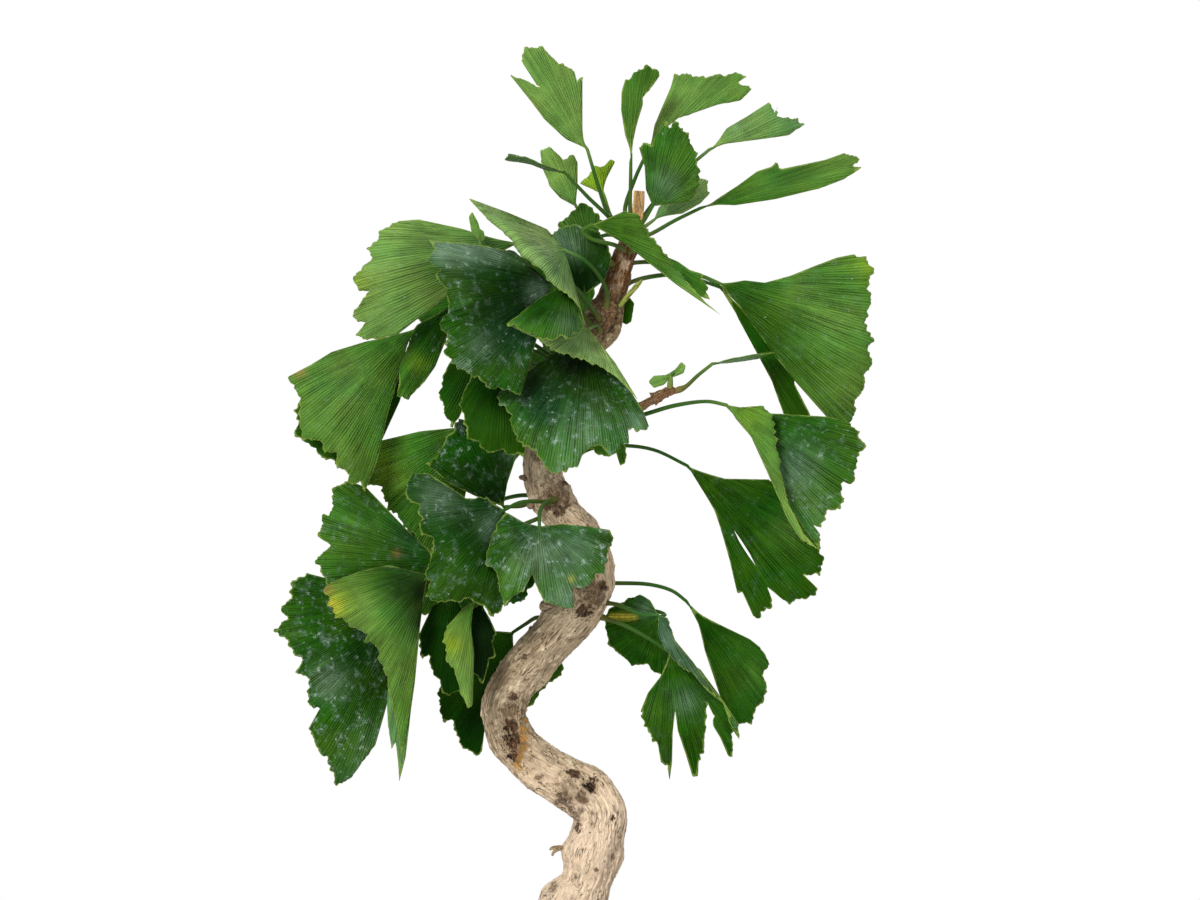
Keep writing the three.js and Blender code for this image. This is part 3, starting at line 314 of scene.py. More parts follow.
inset = -POT_WALL - SOIL_GAP
soil_edge = pot_ring(inset, SOIL_EDGE)
soil_rings = [pot_ring(inset + reach, z) for reach, z in SOIL_BOTTOM] + [soil_edge]
top_rings = []
for share in np.linspace(0.985, 0.02, SOIL_RINGS):
    ring = soil_edge * (share, share, 1)
    ring[:, 2] = soil_height(ring[:, 0], ring[:, 1])
    top_rings.append(ring)
points, faces = closed_tube(soil_rings + top_rings)
soil_bed = add_object("soil_bed", mesh_of("soil_bed", points, faces))
points, faces = closed_tube(top_rings)
faces = [face for face in faces if len(face) == 4]
grain_ground = add_object("grain_ground", mesh_of("grain_ground", points, faces))
if grain_ground.data.polygons[0].normal.z < 0:
    grain_ground.data.flip_normals()

soil_material, tree, shader = new_material("soil_grains", Roughness=0.95)
place = object_place(tree)
sorts = wire(tree, "ShaderNodeValToRGB", {0: attribute(tree, "sort", "Fac")})
sorts.color_ramp.interpolation = "CONSTANT"
stops = sorts.color_ramp.elements
for number, (position, tone) in enumerate(GRAIN_SORTS):
    stop = stops[number] if number < 2 else stops.new(position)
    stop.position = position
    stop.color = tone
pores = grain(tree, place, 1500, 3, 0.65)
damp = grain(tree, place, 45, 2)
colour = layered(tree, sorts.outputs[0], [
    (eased(tree, pores, 0.35, 0.65, 0.55, 0), srgb(38, 28, 22)),
    (eased(tree, damp, 0.45, 0.7, 0, 0.45), srgb(36, 26, 20)),
])
tree.links.new(colour, shader.inputs["Base Color"])
bumped(tree, shader, pores, 0.0006)

# Loose grains: a rough stone on each point scattered over the ground, no two closer than the spacing.
grains = bpy.data.node_groups.new("scatter_grains", "GeometryNodeTree")
for socket, kind, value in (
        ("Ground", "NodeSocketGeometry", None), ("Spacing", "NodeSocketFloat", 2.5 * MM),
        ("Smallest", "NodeSocketFloat", 1.0 * MM), ("Largest", "NodeSocketFloat", 2.3 * MM),
        ("Roughness", "NodeSocketFloat", 0.5 * MM), ("Seed", "NodeSocketInt", 7)):
    made = grains.interface.new_socket(socket, in_out="INPUT", socket_type=kind)
    if value is not None:
        made.default_value = value
grains.interface.new_socket("Grains", in_out="OUTPUT", socket_type="NodeSocketGeometry")
inputs = wire(grains, "NodeGroupInput").outputs
scatter = wire(grains, "GeometryNodeDistributePointsOnFaces", {
    "Mesh": inputs["Ground"], "Distance Min": inputs["Spacing"], "Density Max": 400000,
    "Seed": inputs["Seed"]}, distribute_method="POISSON")
stone = wire(grains, "GeometryNodeMeshIcoSphere", {"Radius": 1, "Subdivisions": 2})
turn = wire(grains, "FunctionNodeRandomValue", {"Max": (FULL_TURN,) * 3, "Seed": inputs["Seed"]},
            data_type="FLOAT_VECTOR")
size = wire(grains, "FunctionNodeRandomValue", {2: inputs["Smallest"], 3: inputs["Largest"],
            "Seed": inputs["Seed"]}, data_type="FLOAT")
shape = wire(grains, "FunctionNodeRandomValue", {"Min": (0.75, 0.65, 0.6), "Max": (1.1, 1, 0.95), "Seed": 3},
             data_type="FLOAT_VECTOR")
scale = wire(grains, "ShaderNodeVectorMath", {0: shape.outputs[0], "Scale": size.outputs[1]},
             operation="SCALE")
placed = wire(grains, "GeometryNodeInstanceOnPoints", {
    "Points": scatter.outputs["Points"], "Instance": stone.outputs[0], "Rotation": turn.outputs[0],
    "Scale": scale.outputs[0]})
sort_value = wire(grains, "FunctionNodeRandomValue", {"Seed": 11}, data_type="FLOAT")
sorted_grains = wire(grains, "GeometryNodeStoreNamedAttribute", {
    "Geometry": placed.outputs[0], "Name": "sort", "Value": sort_value.outputs[1]},
    data_type="FLOAT", domain="INSTANCE")
realized = wire(grains, "GeometryNodeRealizeInstances", {0: sorted_grains.outputs[0]})
lumps = wire(grains, "ShaderNodeTexNoise", {"Scale": 420.0, "Detail": 1.0})
centred = wire(grains, "ShaderNodeVectorMath", {0: lumps.outputs["Color"], 1: (0.5, 0.5, 0.5)},
               operation="SUBTRACT")
offset = wire(grains, "ShaderNodeVectorMath", {0: centred.outputs[0], "Scale": inputs["Roughness"]},
              operation="SCALE")
roughened = wire(grains, "GeometryNodeSetPosition", {"Geometry": realized.outputs[0],
                 "Offset": offset.outputs[0]})
finished = wire(grains, "GeometryNodeSetMaterial", {"Geometry": roughened.outputs[0],
                "Material": soil_material})
wire(grains, "NodeGroupOutput", {0: finished.outputs[0]})
grain_ground.modifiers.new("grains", "NODES").node_group = grains
soil_grains = baked(grain_ground, "soil_surface_grains")
finish_piece(soil_bed, soil_material, "soil", "soil")
finish_piece(soil_grains, soil_material, "soil")

# ---- trunk ----
# One living stem, bent with wire while it was young. Its bark is thin, pale and finely ribbed low
# down, brown and fibrous near the top, with the scars of cut branches and a few short side growths.

TRUNK_SIDES = 144
TRUNK_STEP = 0.68  # between the rings of the skin
RIPPLE_HEIGHT = 0.6
RIPPLE_GRAIN = (0.2, 0.2, 0.1)  # ripples a millimetre across and along the stem
RIB_HEIGHT = 0.45
RIB_GRAIN = (1.05, 1.05, 0.15)
CRUMB_HEIGHT = 0.22
SMOOTH_ROUNDS = 6  # of the level surface that the hollows are measured from
HOLLOW_SHADE_DEPTH = 0.22
COARSE_FROM = 326  # height above which the ribs grow coarser
HIGHLIGHT_TO = 320  # height up to which raised bark gets a painted highlight
GROWTH_SIDES = 20
GROWTH_STEP = 0.5
GROWTH_GRAIN = (400, 60)  # shifts a growth's grain along, so that it repeats no other's

# Points of the centre line in millimetres, and the radius there.
TRUNK_PATH = [
    (-5, 0, 42, 12), (-4.5, 0, 56, 14.5), (-4, 0, 67, 17.5), (-2.5, 0, 77, 15.6), (-0.8, -1, 86, 14.2),
    (1.5, -1, 91.5, 12.5), (5, -2, 99, 9.9), (7, -2, 109, 11.3), (9, -3, 118, 10.6),
    (9.7, -3, 125.5, 10.3), (4.9, -2, 132.2, 10.9), (-5.5, 0, 138.3, 9.8), (-16, 2, 145, 9.2),
    (-25, 4, 154.7, 9.3), (-28.2, 5, 165, 8.4), (-26, 5, 174, 9), (-20, 4, 182.5, 9.5),
    (-13, 2, 191, 9.3), (-5.8, 0, 198.8, 9.2), (2, -2, 207, 9.2), (5.5, -3, 216, 9.4),
    (5.8, -3, 226, 9.2), (1.8, -2, 236, 8.7), (-5.2, -1, 245, 7.9), (-11, 1, 254, 7.6),
    (-13, 3, 264, 7.6), (-11.3, 4, 277, 7.2), (-6, 4, 291, 6.8), (0, 3, 302, 6.6), (5.2, 1, 311, 6.4),
    (10, 0, 318.5, 7.4), (12, 0, 325, 7.2), (14.7, 0, 331, 5.4), (16.5, 0, 337, 4.8), (19.5, 0, 348, 4.3),
    (23, 1, 358, 3), (25, 2, 366, 2.3), (25.5, 2, 374, 2.1),
]
# Knots, scars and hollows: the middle, the reach and the height, which is below zero for a hollow.
TRUNK_RELIEF = [
    (-24, -4, 158, 7, -2.6), (-24, -3, 147, 5, -2), (-31, -4, 168, 5, 1), (-1, -11, 137, 4, 1.6),
    (7, -12, 137, 4, -1.6), (1, -12, 123, 4, 1.5), (1, -10, 143, 3, -1), (-11, 3, 94, 3, 1.2),
    (17, -2, 107, 4, 1), (-3, -2, 110, 5, 1.4), (7, -11, 211, 6, 1.4), (6, -12, 206, 3, -1.6),
    (-13, -4, 207, 4, 2.6), (13, -6, 217, 3, 1.2), (-8, -8, 257, 5, 1.4), (-8, -8, 250, 3, -1.8),
    (-3, -1, 256, 3.5, 1.8), (-18, -3, 248, 4, 1.8), (16, -5, 326, 4, 1.2), (5, -5, 324, 4, 1.4),
    (9, -7, 317, 4, 1.2), (18, -3, 318, 4, 1), (24, 0, 351, 3.5, 1.2), (-4, -9, 198, 4, 0.8),
]
# Side growths: their points, the radius at the root, the radius at the end and the tone.
TRUNK_GROWTHS = [
    ([(-4, 4, 286), (14, 0, 284.5), (27, -2, 288), (33, -2, 291.5)], 2.2, 1.6, "rust"),
    ([(31, -2, 290.5), (36, -2, 293), (40.5, -2, 294.5)], 1.9, 1.7, "rust"),
    ([(-14, 2, 259), (-19.5, 1, 259), (-22.5, 0, 259.6)], 1.6, 0.8, "umber"),
    ([(-14, 2, 193), (-17.5, 1, 196.5), (-17.6, 0, 200)], 1.3, 0.8, "umber"),
    ([(0, -2, 110), (-5, -3, 111.4), (-8, -4, 111.6), (-10.3, -5, 110.6)], 0.9, 0.6, "fibre"),
    ([(-6, -3, 111.3), (-8.5, -6, 109.8), (-9.2, -7, 108.2)], 0.7, 0.5, "fibre"),
    ([(14, -2, 325), (18.5, -4, 329), (23, -6, 334), (27, -7, 338.4)], 1.1, 0.9, "shoot"),
    ([(-14, 0, 249), (-16.8, -3, 248.6), (-18.4, -5, 247.8)], 1.8, 1.3, "umber"),
    ([(-6, -2, 206), (-11, -3, 207.6), (-14.2, -4, 208.4)], 2.8, 1.8, "ash"),
]
# Scars that show from the front: x, z, how far they reach, how rough they are, how strongly the grain
# runs round them, and how deep and dark their wounds are; the dark is partly the wound's own bark and
# partly painted shade of its hollow. SCARS_AROUND more are tried anywhere.
BARK_SCARS = [
    (-25, 160, 3.6, 2.2, 0.3, 1.0), (-23.5, 154, 4.0, 2.4, 0.2, 1.0), (-24.5, 147, 3.4, 2.0, 0.2, 1.0),
    (-25.6, 166.8, 3.0, 0.5, 0.9, 0.35), (-25, 171.5, 1.5, 0.8, 0, 0.8), (-28.5, 155, 1.2, 0.4, 0, 0.9),
    (-0.2, 141.6, 2.4, 1.0, 0.8, 0.9), (6.6, 137.3, 3.2, 1.3, 0.8, 1.0), (-2.7, 137, 2.4, 0.4, 0.9, 0.3),
    (-4, 130.5, 3.5, 1.3, 0.2, 0.55), (3, 131.5, 2.6, 1.2, 0.2, 0.6), (0.9, 125, 3.2, 0.5, 0.9, 0.4),
    (1.6, 120.4, 1.8, 0.8, 0, 0.9), (15.4, 123.1, 0.8, 0.3, 0, 0.9), (8, 103.4, 0.8, 0.3, 0, 0.7),
    (0.1, 99.9, 0.6, 0.3, 0, 0.7), (-9, 96, 2.0, 1.0, 0.4, 0.35), (15.4, 108.4, 1.2, 0.8, 0, 0.4),
    (-7.4, 252.9, 5.4, 1.3, 0.6, 0.4), (-6.5, 246.2, 2.6, 1.0, 0, 0.75), (-4.5, 256.5, 2.2, 1.2, 0, 0.9),
    (-11.5, 247.5, 1.6, 0.7, 0, 0.7), (-3.4, 249.5, 1.6, 0.8, 0, 0.8), (7, 214.5, 4.4, 1.4, 0.5, 0.4),
    (11, 216, 1.6, 0.8, 0, 0.85), (4.3, 206.6, 2.8, 1.3, 0.2, 0.85), (-10, 208.5, 3.4, 1.2, 0, 0.9),
    (8, 210.5, 2.2, 0.9, 0, 0.5), (-20, 188, 1.0, 0.3, 0, 0.6), (8, 329, 3.6, 2.6, 0.7, 0.6),
    (14, 325, 4.6, 3.0, 0.6, 0.7), (12, 319.5, 4.0, 2.6, 0.6, 0.7), (8, 322, 3.4, 2.2, 0.2, 0.6),
    (17, 330, 2.4, 2.0, 0.4, 0.7), (16, 351, 2.6, 1.0, 0.4, 0.6), (-13, 130, 2.2, 0.6, 0.3, 0.3),
    (-14.5, 139.5, 1.4, 0.5, 0.6, 0.5), (5, 238, 2.0, 0.8, 0.4, 0.5), (-15, 268, 2.4, 0.7, 0.5, 0.4),
]
SCARS_AROUND = 16
SCAR_RINGS = (30, 480)  # rings of the skin between which those lie
# Pale corky pores that stand out from the bark: x and z of those in front, and how many lie anywhere.
FRONT_PORES = [
    (-0.1, 198.3), (-1.6, 196.6), (-12.6, 190.8), (-6.6, 187.3), (-31, 172.3), (-27.6, 169.9),
    (-25.8, 175.5), (-22.6, 177), (-17.8, 173.3), (-16.4, 176.4), (-14.2, 180.2), (-36.4, 164.8),
    (-8.9, 151.5), (-2, 145.2), (-3.2, 137.1), (-1.4, 135.2), (14.9, 127.7), (10.5, 127), (17.4, 120.8),
    (17.4, 109), (11, 150), (9, 230),
]
PORES_AROUND = 130
PORE_FREE = (60, 130)  # rings without those at the foot and at the top
PORE_HEIGHT = 0.5
PORE_REACH = 1.25
PORES_TO = 318  # height up to which pores are pale
# Bark tones along the stem by height, then patches: x, z, the reach, the tone and its strength.
BARK_TONES = {
    "straw": srgb(252, 224, 192), "tan": srgb(226, 198, 164), "ash": srgb(182, 161, 130),
    "umber": srgb(124, 98, 64), "fibre": srgb(158, 136, 92), "rust": srgb(112, 72, 30),
    "char": srgb(52, 35, 24), "cream": srgb(242, 222, 186), "amber": srgb(190, 134, 44),
    "heartwood": srgb(250, 196, 130), "moss": srgb(120, 112, 70), "shoot": srgb(150, 168, 62),
}
BARK_BANDS = [(60, "straw"), (92, "straw"), (126, "straw"), (140, "tan"), (158, "ash"), (196, "ash"),
              (215, "tan"), (270, "tan"), (300, "umber"), (314, "fibre"), (330, "fibre"), (334, "rust"),
              (361, "rust"), (364, "heartwood"), (376, "heartwood")]
BARK_PATCHES = [
    (-20.0, 162, 1.7, "amber", 1.0), (-20.2, 158.5, 1.8, "amber", 1.0), (-20.2, 155, 1.9, "amber", 1.0),
    (-20.9, 151.5, 1.9, "amber", 1.0), (-22.0, 148, 1.9, "amber", 1.0), (-23.0, 144.5, 1.8, "amber", 0.9),
    (-26, 141.5, 2.0, "moss", 0.8), (-14, 176, 3.5, "cream", 0.5), (14, 132, 1.6, "straw", 0.8),
    (-14, 262, 2.0, "cream", 0.8), (-10, 257, 1.6, "cream", 0.7), (0, 203, 4, "cream", 0.4),
    (-30, 180, 8, "umber", 0.5), (-16, 193, 5, "umber", 0.5), (-34, 152, 6, "umber", 0.4),
    (-26, 168, 5, "umber", 0.6), (-24, 152, 6, "umber", 0.5), (-2, 133, 6, "umber", 0.35),
    (1, 124, 4, "umber", 0.4), (7, 211, 6, "umber", 0.45), (-7, 250, 6, "umber", 0.4),
    (20, 345, 2, "straw", 0.5), (17, 340, 1.6, "ash", 0.5), (22, 350, 2, "char", 0.5),
]


def curve_through(points, places):
    """Points of a centripetal curve through the given ones, at places from 0 to 1."""
    points = np.asarray(points, float)
    padded = np.concatenate([[2 * points[0] - points[1]], points, [2 * points[-1] - points[-2]]])
    spans = len(points) - 1
    span = np.minimum((np.asarray(places) * spans).astype(int), spans - 1)
    part = (np.asarray(places) * spans - span)[:, None]
    knots = [padded[span + i] for i in range(4)]
    gaps = [np.maximum(np.linalg.norm(knots[i + 1] - knots[i], axis=1, keepdims=True), 1e-6) ** 0.5
            for i in range(3)]
    start = ((knots[1] - knots[0]) / gaps[0] - (knots[2] - knots[0]) / (gaps[0] + gaps[1])
             + (knots[2] - knots[1]) / gaps[1]) * gaps[1]
    end = ((knots[2] - knots[1]) / gaps[1] - (knots[3] - knots[1]) / (gaps[1] + gaps[2])
           + (knots[3] - knots[2]) / gaps[2]) * gaps[1]
    rise = knots[2] - knots[1]
    return (knots[1] + start * part + (3 * rise - 2 * start - end) * part ** 2
            + (start + end - 2 * rise) * part ** 3)


def evenly_placed(points, step):
    """Places from 0 to 1 along the curve that lie a step apart, and the length up to each."""
    fine = np.linspace(0, 1, 40 * len(points))
    line = curve_through(points, fine)
    length = np.concatenate([[0], np.cumsum(np.linalg.norm(np.diff(line, axis=0), axis=1))])
    marks = np.linspace(0, length[-1], max(int(length[-1] / step), 4) + 1)
    return np.interp(marks, length, fine), marks


def frames_along(centres, tangents, side):
    """Two directions square to the line at each point, carried along it without a twist."""
    sides, acrosses = [], []
    side = np.asarray(side, float)
    for tangent in tangents:
        side = side - tangent * side.dot(tangent)
        side /= np.linalg.norm(side)
        sides.append(side)
        acrosses.append(np.cross(tangent, side))
    return np.array(sides), np.array(acrosses)


def directions(centres):
    """The way that the line runs at each point."""
    ways = np.gradient(centres, axis=0)
    return ways / np.linalg.norm(ways, axis=1, keepdims=True)


def spokes_round(first, second, sides):
    """Unit steps outwards from each point of a line, evenly round it."""
    angle = angles_round(sides)
    return first[:, None] * np.cos(angle)[None, :, None] + second[:, None] * np.sin(angle)[None, :, None]


def tube_rings(centres, radii, sides):
    """Rings of points round a line, at the radius given for each of its points."""
    first, second = frames_along(centres, directions(centres), (0, 1, 0.01))
    return centres[:, None] + spokes_round(first, second, sides) * radii[:, None, None]


def straightened(radii, lengths, sides):
    """Where the points round a bent stem would lie if it were straight."""
    angle = angles_round(sides)
    return np.stack([np.cos(angle)[None] * radii[:, None], np.sin(angle)[None] * radii[:, None],
                     np.repeat(lengths[:, None], sides, axis=1)], axis=2)


places, lengths = evenly_placed([row[:3] for row in TRUNK_PATH], TRUNK_STEP)
path = np.array(TRUNK_PATH, float)
spans = len(path) - 1
centres = curve_through(path[:, :3], places)
ways = (curve_through(path[:, :3], np.minimum(places + 1 / spans, 1))
        - curve_through(path[:, :3], np.maximum(places - 1 / spans, 0)))
ways /= np.linalg.norm(ways, axis=1, keepdims=True)
first, second = frames_along(centres, ways, (0, 1, 0))
span = np.minimum((places * spans).astype(int), spans - 1)
part = places * spans - span
eased_part = part * part * (3 - 2 * part)
radii = path[span, 3] + (path[span + 1, 3] - path[span, 3]) * eased_part
angle = angles_round(TRUNK_SIDES)
spokes = spokes_round(first, second, TRUNK_SIDES)
skin = centres[:, None] + spokes * radii[:, None, None]
# Low lobes that wind round the stem, then its knots and hollows.
rise = (0.3 * np.sin(3 * angle[None] + 0.7 * (places * spans)[:, None])
        + 0.2 * np.sin(5 * angle[None] - 1.3 * (places * spans)[:, None]))
for x, y, z, reach, height in TRUNK_RELIEF:
    rise += height * np.exp(-(np.linalg.norm(skin - (x, y, z), axis=2) / reach) ** 2)
straight = straightened(radii, lengths, TRUNK_SIDES)


def nearest_in_front(x, z):
    """The ring and the side of the skin that show at a place seen from the front."""
    gap = np.hypot(skin[:, :, 0] - x, skin[:, :, 2] - z) + 0.05 * (skin[:, :, 1] - centres[:, None, 1])
    return np.unravel_index(np.argmin(gap), gap.shape)


draw = np.random.default_rng(11)
scars = [(nearest_in_front(x, z), reach, rough, grain_round, dark)
         for x, z, reach, rough, grain_round, dark in BARK_SCARS]
for _ in range(SCARS_AROUND):
    spot = (int(draw.integers(*SCAR_RINGS)), int(draw.integers(0, TRUNK_SIDES)))
    if skin[spot][1] > centres[spot[0]][1] + 2:
        scars.append((spot, draw.uniform(2, 4), draw.uniform(0.5, 1.4), draw.uniform(0.2, 0.9),
                      draw.uniform(0.3, 0.8)))
smudge = np.array([[[noise.noise(Vector(corner) * 0.5), noise.noise(Vector(corner) * 1.3)]
                    for corner in ring] for ring in skin])
roughness = np.zeros(rise.shape)
torn = np.zeros(rise.shape)
darkness = np.zeros(rise.shape)
whorls = np.zeros(rise.shape)
flowing = straight.copy()
# A scar roughens the bark, tears it open, turns the grain round itself and rings it with ripples.
for spot, reach, rough, grain_round, dark in scars:
    away = np.linalg.norm(skin - skin[spot], axis=2)
    near = np.exp(-(away / reach) ** 2)
    torn_away = away + reach * (1.3 * smudge[:, :, 0] + 1.1 * smudge[:, :, 1])
    roughness += rough * near
    wound = np.clip(1 - torn_away / (1.5 * reach), 0, 1)
    darkness = np.where(wound > torn, dark, darkness)
    torn = np.maximum(torn, wound)
    whorls += grain_round * near
    pull = grain_round * np.exp(-(away / (1.7 * reach)) ** 2)
    flowing -= (straight - straight[spot]) * pull[:, :, None] * 0.8
    rise += grain_round * 0.3 * np.cos(away * 3.4) * near - 0.6 * dark * near
upper = np.clip((skin[:, :, 2] - COARSE_FROM) / 10, 0, 1)
corky = np.zeros(rise.shape)
pore_spots = [(nearest_in_front(x, z), PORE_REACH) for x, z in FRONT_PORES]
for _ in range(PORES_AROUND):
    ring = int(draw.integers(PORE_FREE[0], len(places) - PORE_FREE[1]))
    spot = (ring, int(draw.integers(0, TRUNK_SIDES)))
    pore_spots.append((spot, draw.uniform(0.45, 0.95)))
for spot, reach in pore_spots:
    away = np.linalg.norm(skin - skin[spot], axis=2) * (1 + smudge[:, :, 1])
    corky = np.maximum(corky, np.exp(-(away / reach) ** 2))
ridges = np.zeros(rise.shape)
for ring in range(len(places)):
    for side in range(TRUNK_SIDES):
        rib = noise.fractal(Vector(flowing[ring, side] * RIB_GRAIN), 0.7, 2.1, 3)
        ripple = noise.noise(Vector(flowing[ring, side] * RIPPLE_GRAIN))
        spot = Vector(skin[ring, side])
        crumb = noise.fractal(spot * 0.75, 0.6, 2.2, 3)
        jag = abs(noise.noise(spot * 0.42)) + 0.5 * abs(noise.noise(spot * 0.95))
        ridges[ring, side] = (RIB_HEIGHT * rib * (1 + 0.8 * upper[ring, side]) + RIPPLE_HEIGHT * ripple
                              + CRUMB_HEIGHT * crumb + roughness[ring, side] * (jag - 0.3))
rise = (rise + ridges) * np.minimum(1, radii / 6)[:, None]
rise += PORE_HEIGHT * corky
skin += spokes * rise[:, :, None]

# Hollows lie below the smoothed surface and get painted shade, and what stands above it gets a painted
# highlight.
level = rise.copy()
for _ in range(SMOOTH_ROUNDS):
    level = (level + np.roll(level, 1, 1) + np.roll(level, -1, 1)) / 3
    level[1:-1] = (level[:-2] + level[1:-1] + level[2:]) / 3
hollow = np.clip((level - rise) / HOLLOW_SHADE_DEPTH, -1, 1)
halo = np.minimum(roughness, 1.2) / 1.2


def painted_bark(points):
    """The bark's tone at each point by height."""
    heights = [height for height, tone in BARK_BANDS]
    tones = np.array([BARK_TONES[tone] for height, tone in BARK_BANDS])
    return np.stack([np.interp(points[..., 2], heights, channel) for channel in tones.T], axis=-1)


def turned_to(colour, tone, share):
    """The colours with a share of a bark tone in them."""
    return colour + (np.array(BARK_TONES[tone]) - colour) * np.clip(share, 0, 1)[..., None]


bark = painted_bark(skin)
# Painted shade: the hollows turn umber. The bark round scars browns too.
bark = turned_to(bark, "umber", 0.2 * np.maximum(hollow, 0) + 0.5 * halo * (1 + 2 * smudge[:, :, 1]))
# Painted highlight: raised bark low on the stem turns cream.
bark = turned_to(bark, "cream", 0.2 * np.maximum(-hollow, 0) * (skin[:, :, 2] < HIGHLIGHT_TO))
blur = 1 + smudge[:, :, 0] + 0.8 * smudge[:, :, 1]
for x, z, reach, tone, strength in BARK_PATCHES:
    away = np.linalg.norm(skin - skin[nearest_in_front(x, z)], axis=2) * blur
    share = strength * np.exp(-(away / reach) ** 4)
    bark = turned_to(bark, tone, share)
    if tone == "amber":
        torn -= share
bark = turned_to(bark, "cream", 0.9 * corky * (skin[:, :, 2] < PORES_TO))


def store(mesh, name, kind, values):
    """Keeps a value for each vertex on the mesh, for its material to read."""
    layer = mesh.attributes.new(name, kind, "POINT")
    field = {"FLOAT": "value", "FLOAT_VECTOR": "vector", "FLOAT_COLOR": "color"}[kind]
    layer.data.foreach_set(field, np.asarray(values, np.float32).ravel())


shells = [(closed_tube(list(skin)), flowing.reshape(-1, 3), None)]
for number, (points, root, end, tone) in enumerate(TRUNK_GROWTHS):
    places, marks = evenly_placed(points, GROWTH_STEP)
    girth = root + (end - root) * places
    girth = girth * np.sqrt(np.clip((1 - places) * 9, 0.02, 1)) * (1 + 0.5 * np.exp(-marks / 2.5))
    rings = tube_rings(curve_through(points, places), girth, GROWTH_SIDES)
    unrolled = straightened(girth, marks + GROWTH_GRAIN[0] + GROWTH_GRAIN[1] * number, GROWTH_SIDES)
    for ring, along in zip(rings, unrolled):
        middle = ring.mean(0)
        for side, spot in enumerate(along):
            knobble = noise.noise(Vector(spot) * 0.7)
            ring[side] += (ring[side] - middle) * 0.3 * knobble
    shells.append((closed_tube(list(rings)), unrolled.reshape(-1, 3), tone))

all_points, all_faces, all_straight, tones = [], [], [], []
for (points, faces), unrolled, tone in shells:
    shift = sum(len(part) for part in all_points)
    all_points.append(points)
    all_faces += [tuple(index + shift for index in face) for face in faces]
    all_straight.append(np.concatenate([unrolled, unrolled[:1], unrolled[-1:]]))
    painted = painted_bark(points)
    tones.append(turned_to(painted, tone, np.full(len(points), 0.8)) if tone else painted)
all_points, tones = np.concatenate(all_points), np.concatenate(tones)
tones[:bark.size // 4] = bark.reshape(-1, 4)
trunk = add_object("trunk_bark", mesh_of("trunk_bark", all_points, all_faces))
store(trunk.data, "straight", "FLOAT_VECTOR", np.concatenate(all_straight) * MM)
store(trunk.data, "tone", "FLOAT_COLOR", tones)
marks = np.zeros((len(all_points), 3))
marks[:whorls.size] = np.stack([whorls, torn, darkness], axis=2).reshape(-1, 3)
store(trunk.data, "marks", "FLOAT_VECTOR", marks)


def plus(tree, first, second):
    return maths(tree, "ADD", first, second)


def scattered(tree, place, scale, share, inner, outer):
    """Round spots one to a cell, kept in a share of the cells: 1 in a spot and 0 outside it."""
    cells = wire(tree, "ShaderNodeTexVoronoi", {"Vector": place, "Scale": scale, "Randomness": 1.0})
    chosen = wire(tree, "ShaderNodeSeparateColor", {0: cells.outputs["Color"]}).outputs[0]
    kept = maths(tree, "LESS_THAN", chosen, share)
    return times(tree, eased(tree, cells.outputs["Distance"], inner, outer, 1, 0), kept)


bark_material, tree, shader = new_material("thin_bark", Roughness=0.85, Specular_IOR_Level=0.3)
tone = attribute(tree, "tone", "Color")
unrolled = attribute(tree, "straight")
place = object_place(tree)
fibre = grain(tree, unrolled, 1500, 4, 0.65, (1, 1, 0.24), 1.2)
ribs = grain(tree, unrolled, 520, 4, 0.6, (1, 1, 0.22), 1.4)
blotch = grain(tree, place, 130, 4, 0.65)
light = plus(tree, eased(tree, fibre, 0.3, 0.7, 0.88, 1.12), eased(tree, ribs, 0.3, 0.7, -0.07, 0.08))
shaded = wire(tree, "ShaderNodeHueSaturation", {"Value": light, "Color": tone}).outputs[0]
shaded = layered(tree, shaded, [
    (eased(tree, blotch, 0.52, 0.74, 0, 0.3), srgb(138, 116, 88)),
    (eased(tree, blotch, 0.46, 0.3, 0, 0.45), srgb(236, 214, 186)),
])
whorl, wound, depth = wire(tree, "ShaderNodeSeparateXYZ", {0: attribute(tree, "marks")}).outputs
field = times(tree, grain(tree, unrolled, 230, 3, 0.5, (1, 1, 0.13), 0.9), 9)
field = plus(tree, field, times(tree, whorl, 4))
field = plus(tree, field, times(tree, wound, 3))


def contours(shift):
    """How far the field is from the nearest of its evenly spaced levels."""
    part = maths(tree, "FRACT", plus(tree, field, shift))
    return maths(tree, "ABSOLUTE", maths(tree, "SUBTRACT", part, 0.5))


strength = maths(tree, "ADD", eased(tree, blotch, 0.38, 0.62, 0.12, 0.85), whorl, clamp=True)
strength = maths(tree, "ADD", strength, times(tree, wound, depth), clamp=True)
cracks = times(tree, eased(tree, contours(0), 0.0, 0.14, 1, 0), strength)
# Painted highlight: a pale line beside each crack, so that the cracks look embossed.
edges = times(tree, eased(tree, contours(0.24), 0.0, 0.14, 0.4, 0), strength)
pores = scattered(tree, place, 230, 0.32, 0.12, 0.24)
dots = scattered(tree, place, 340, 0.1, 0.1, 0.16)
tear = grain(tree, place, 620, 4, 0.7)
wound = plus(tree, wound, times(tree, maths(tree, "SUBTRACT", tear, 0.5), 1.3))
rim = times(tree, eased(tree, wound, 0.16, 0.34), depth)
torn_bark = times(tree, eased(tree, wound, 0.36, 0.46), depth)
# The insides of wounds: dark bark, whose darkness is partly painted shade of the hollow.
inner = blended(tree, eased(tree, ribs, 0.42, 0.6), srgb(34, 23, 16), srgb(118, 84, 54))
inner = blended(tree, eased(tree, wound, 0.88, 1.06, 0, 0.4), inner, srgb(150, 116, 82))
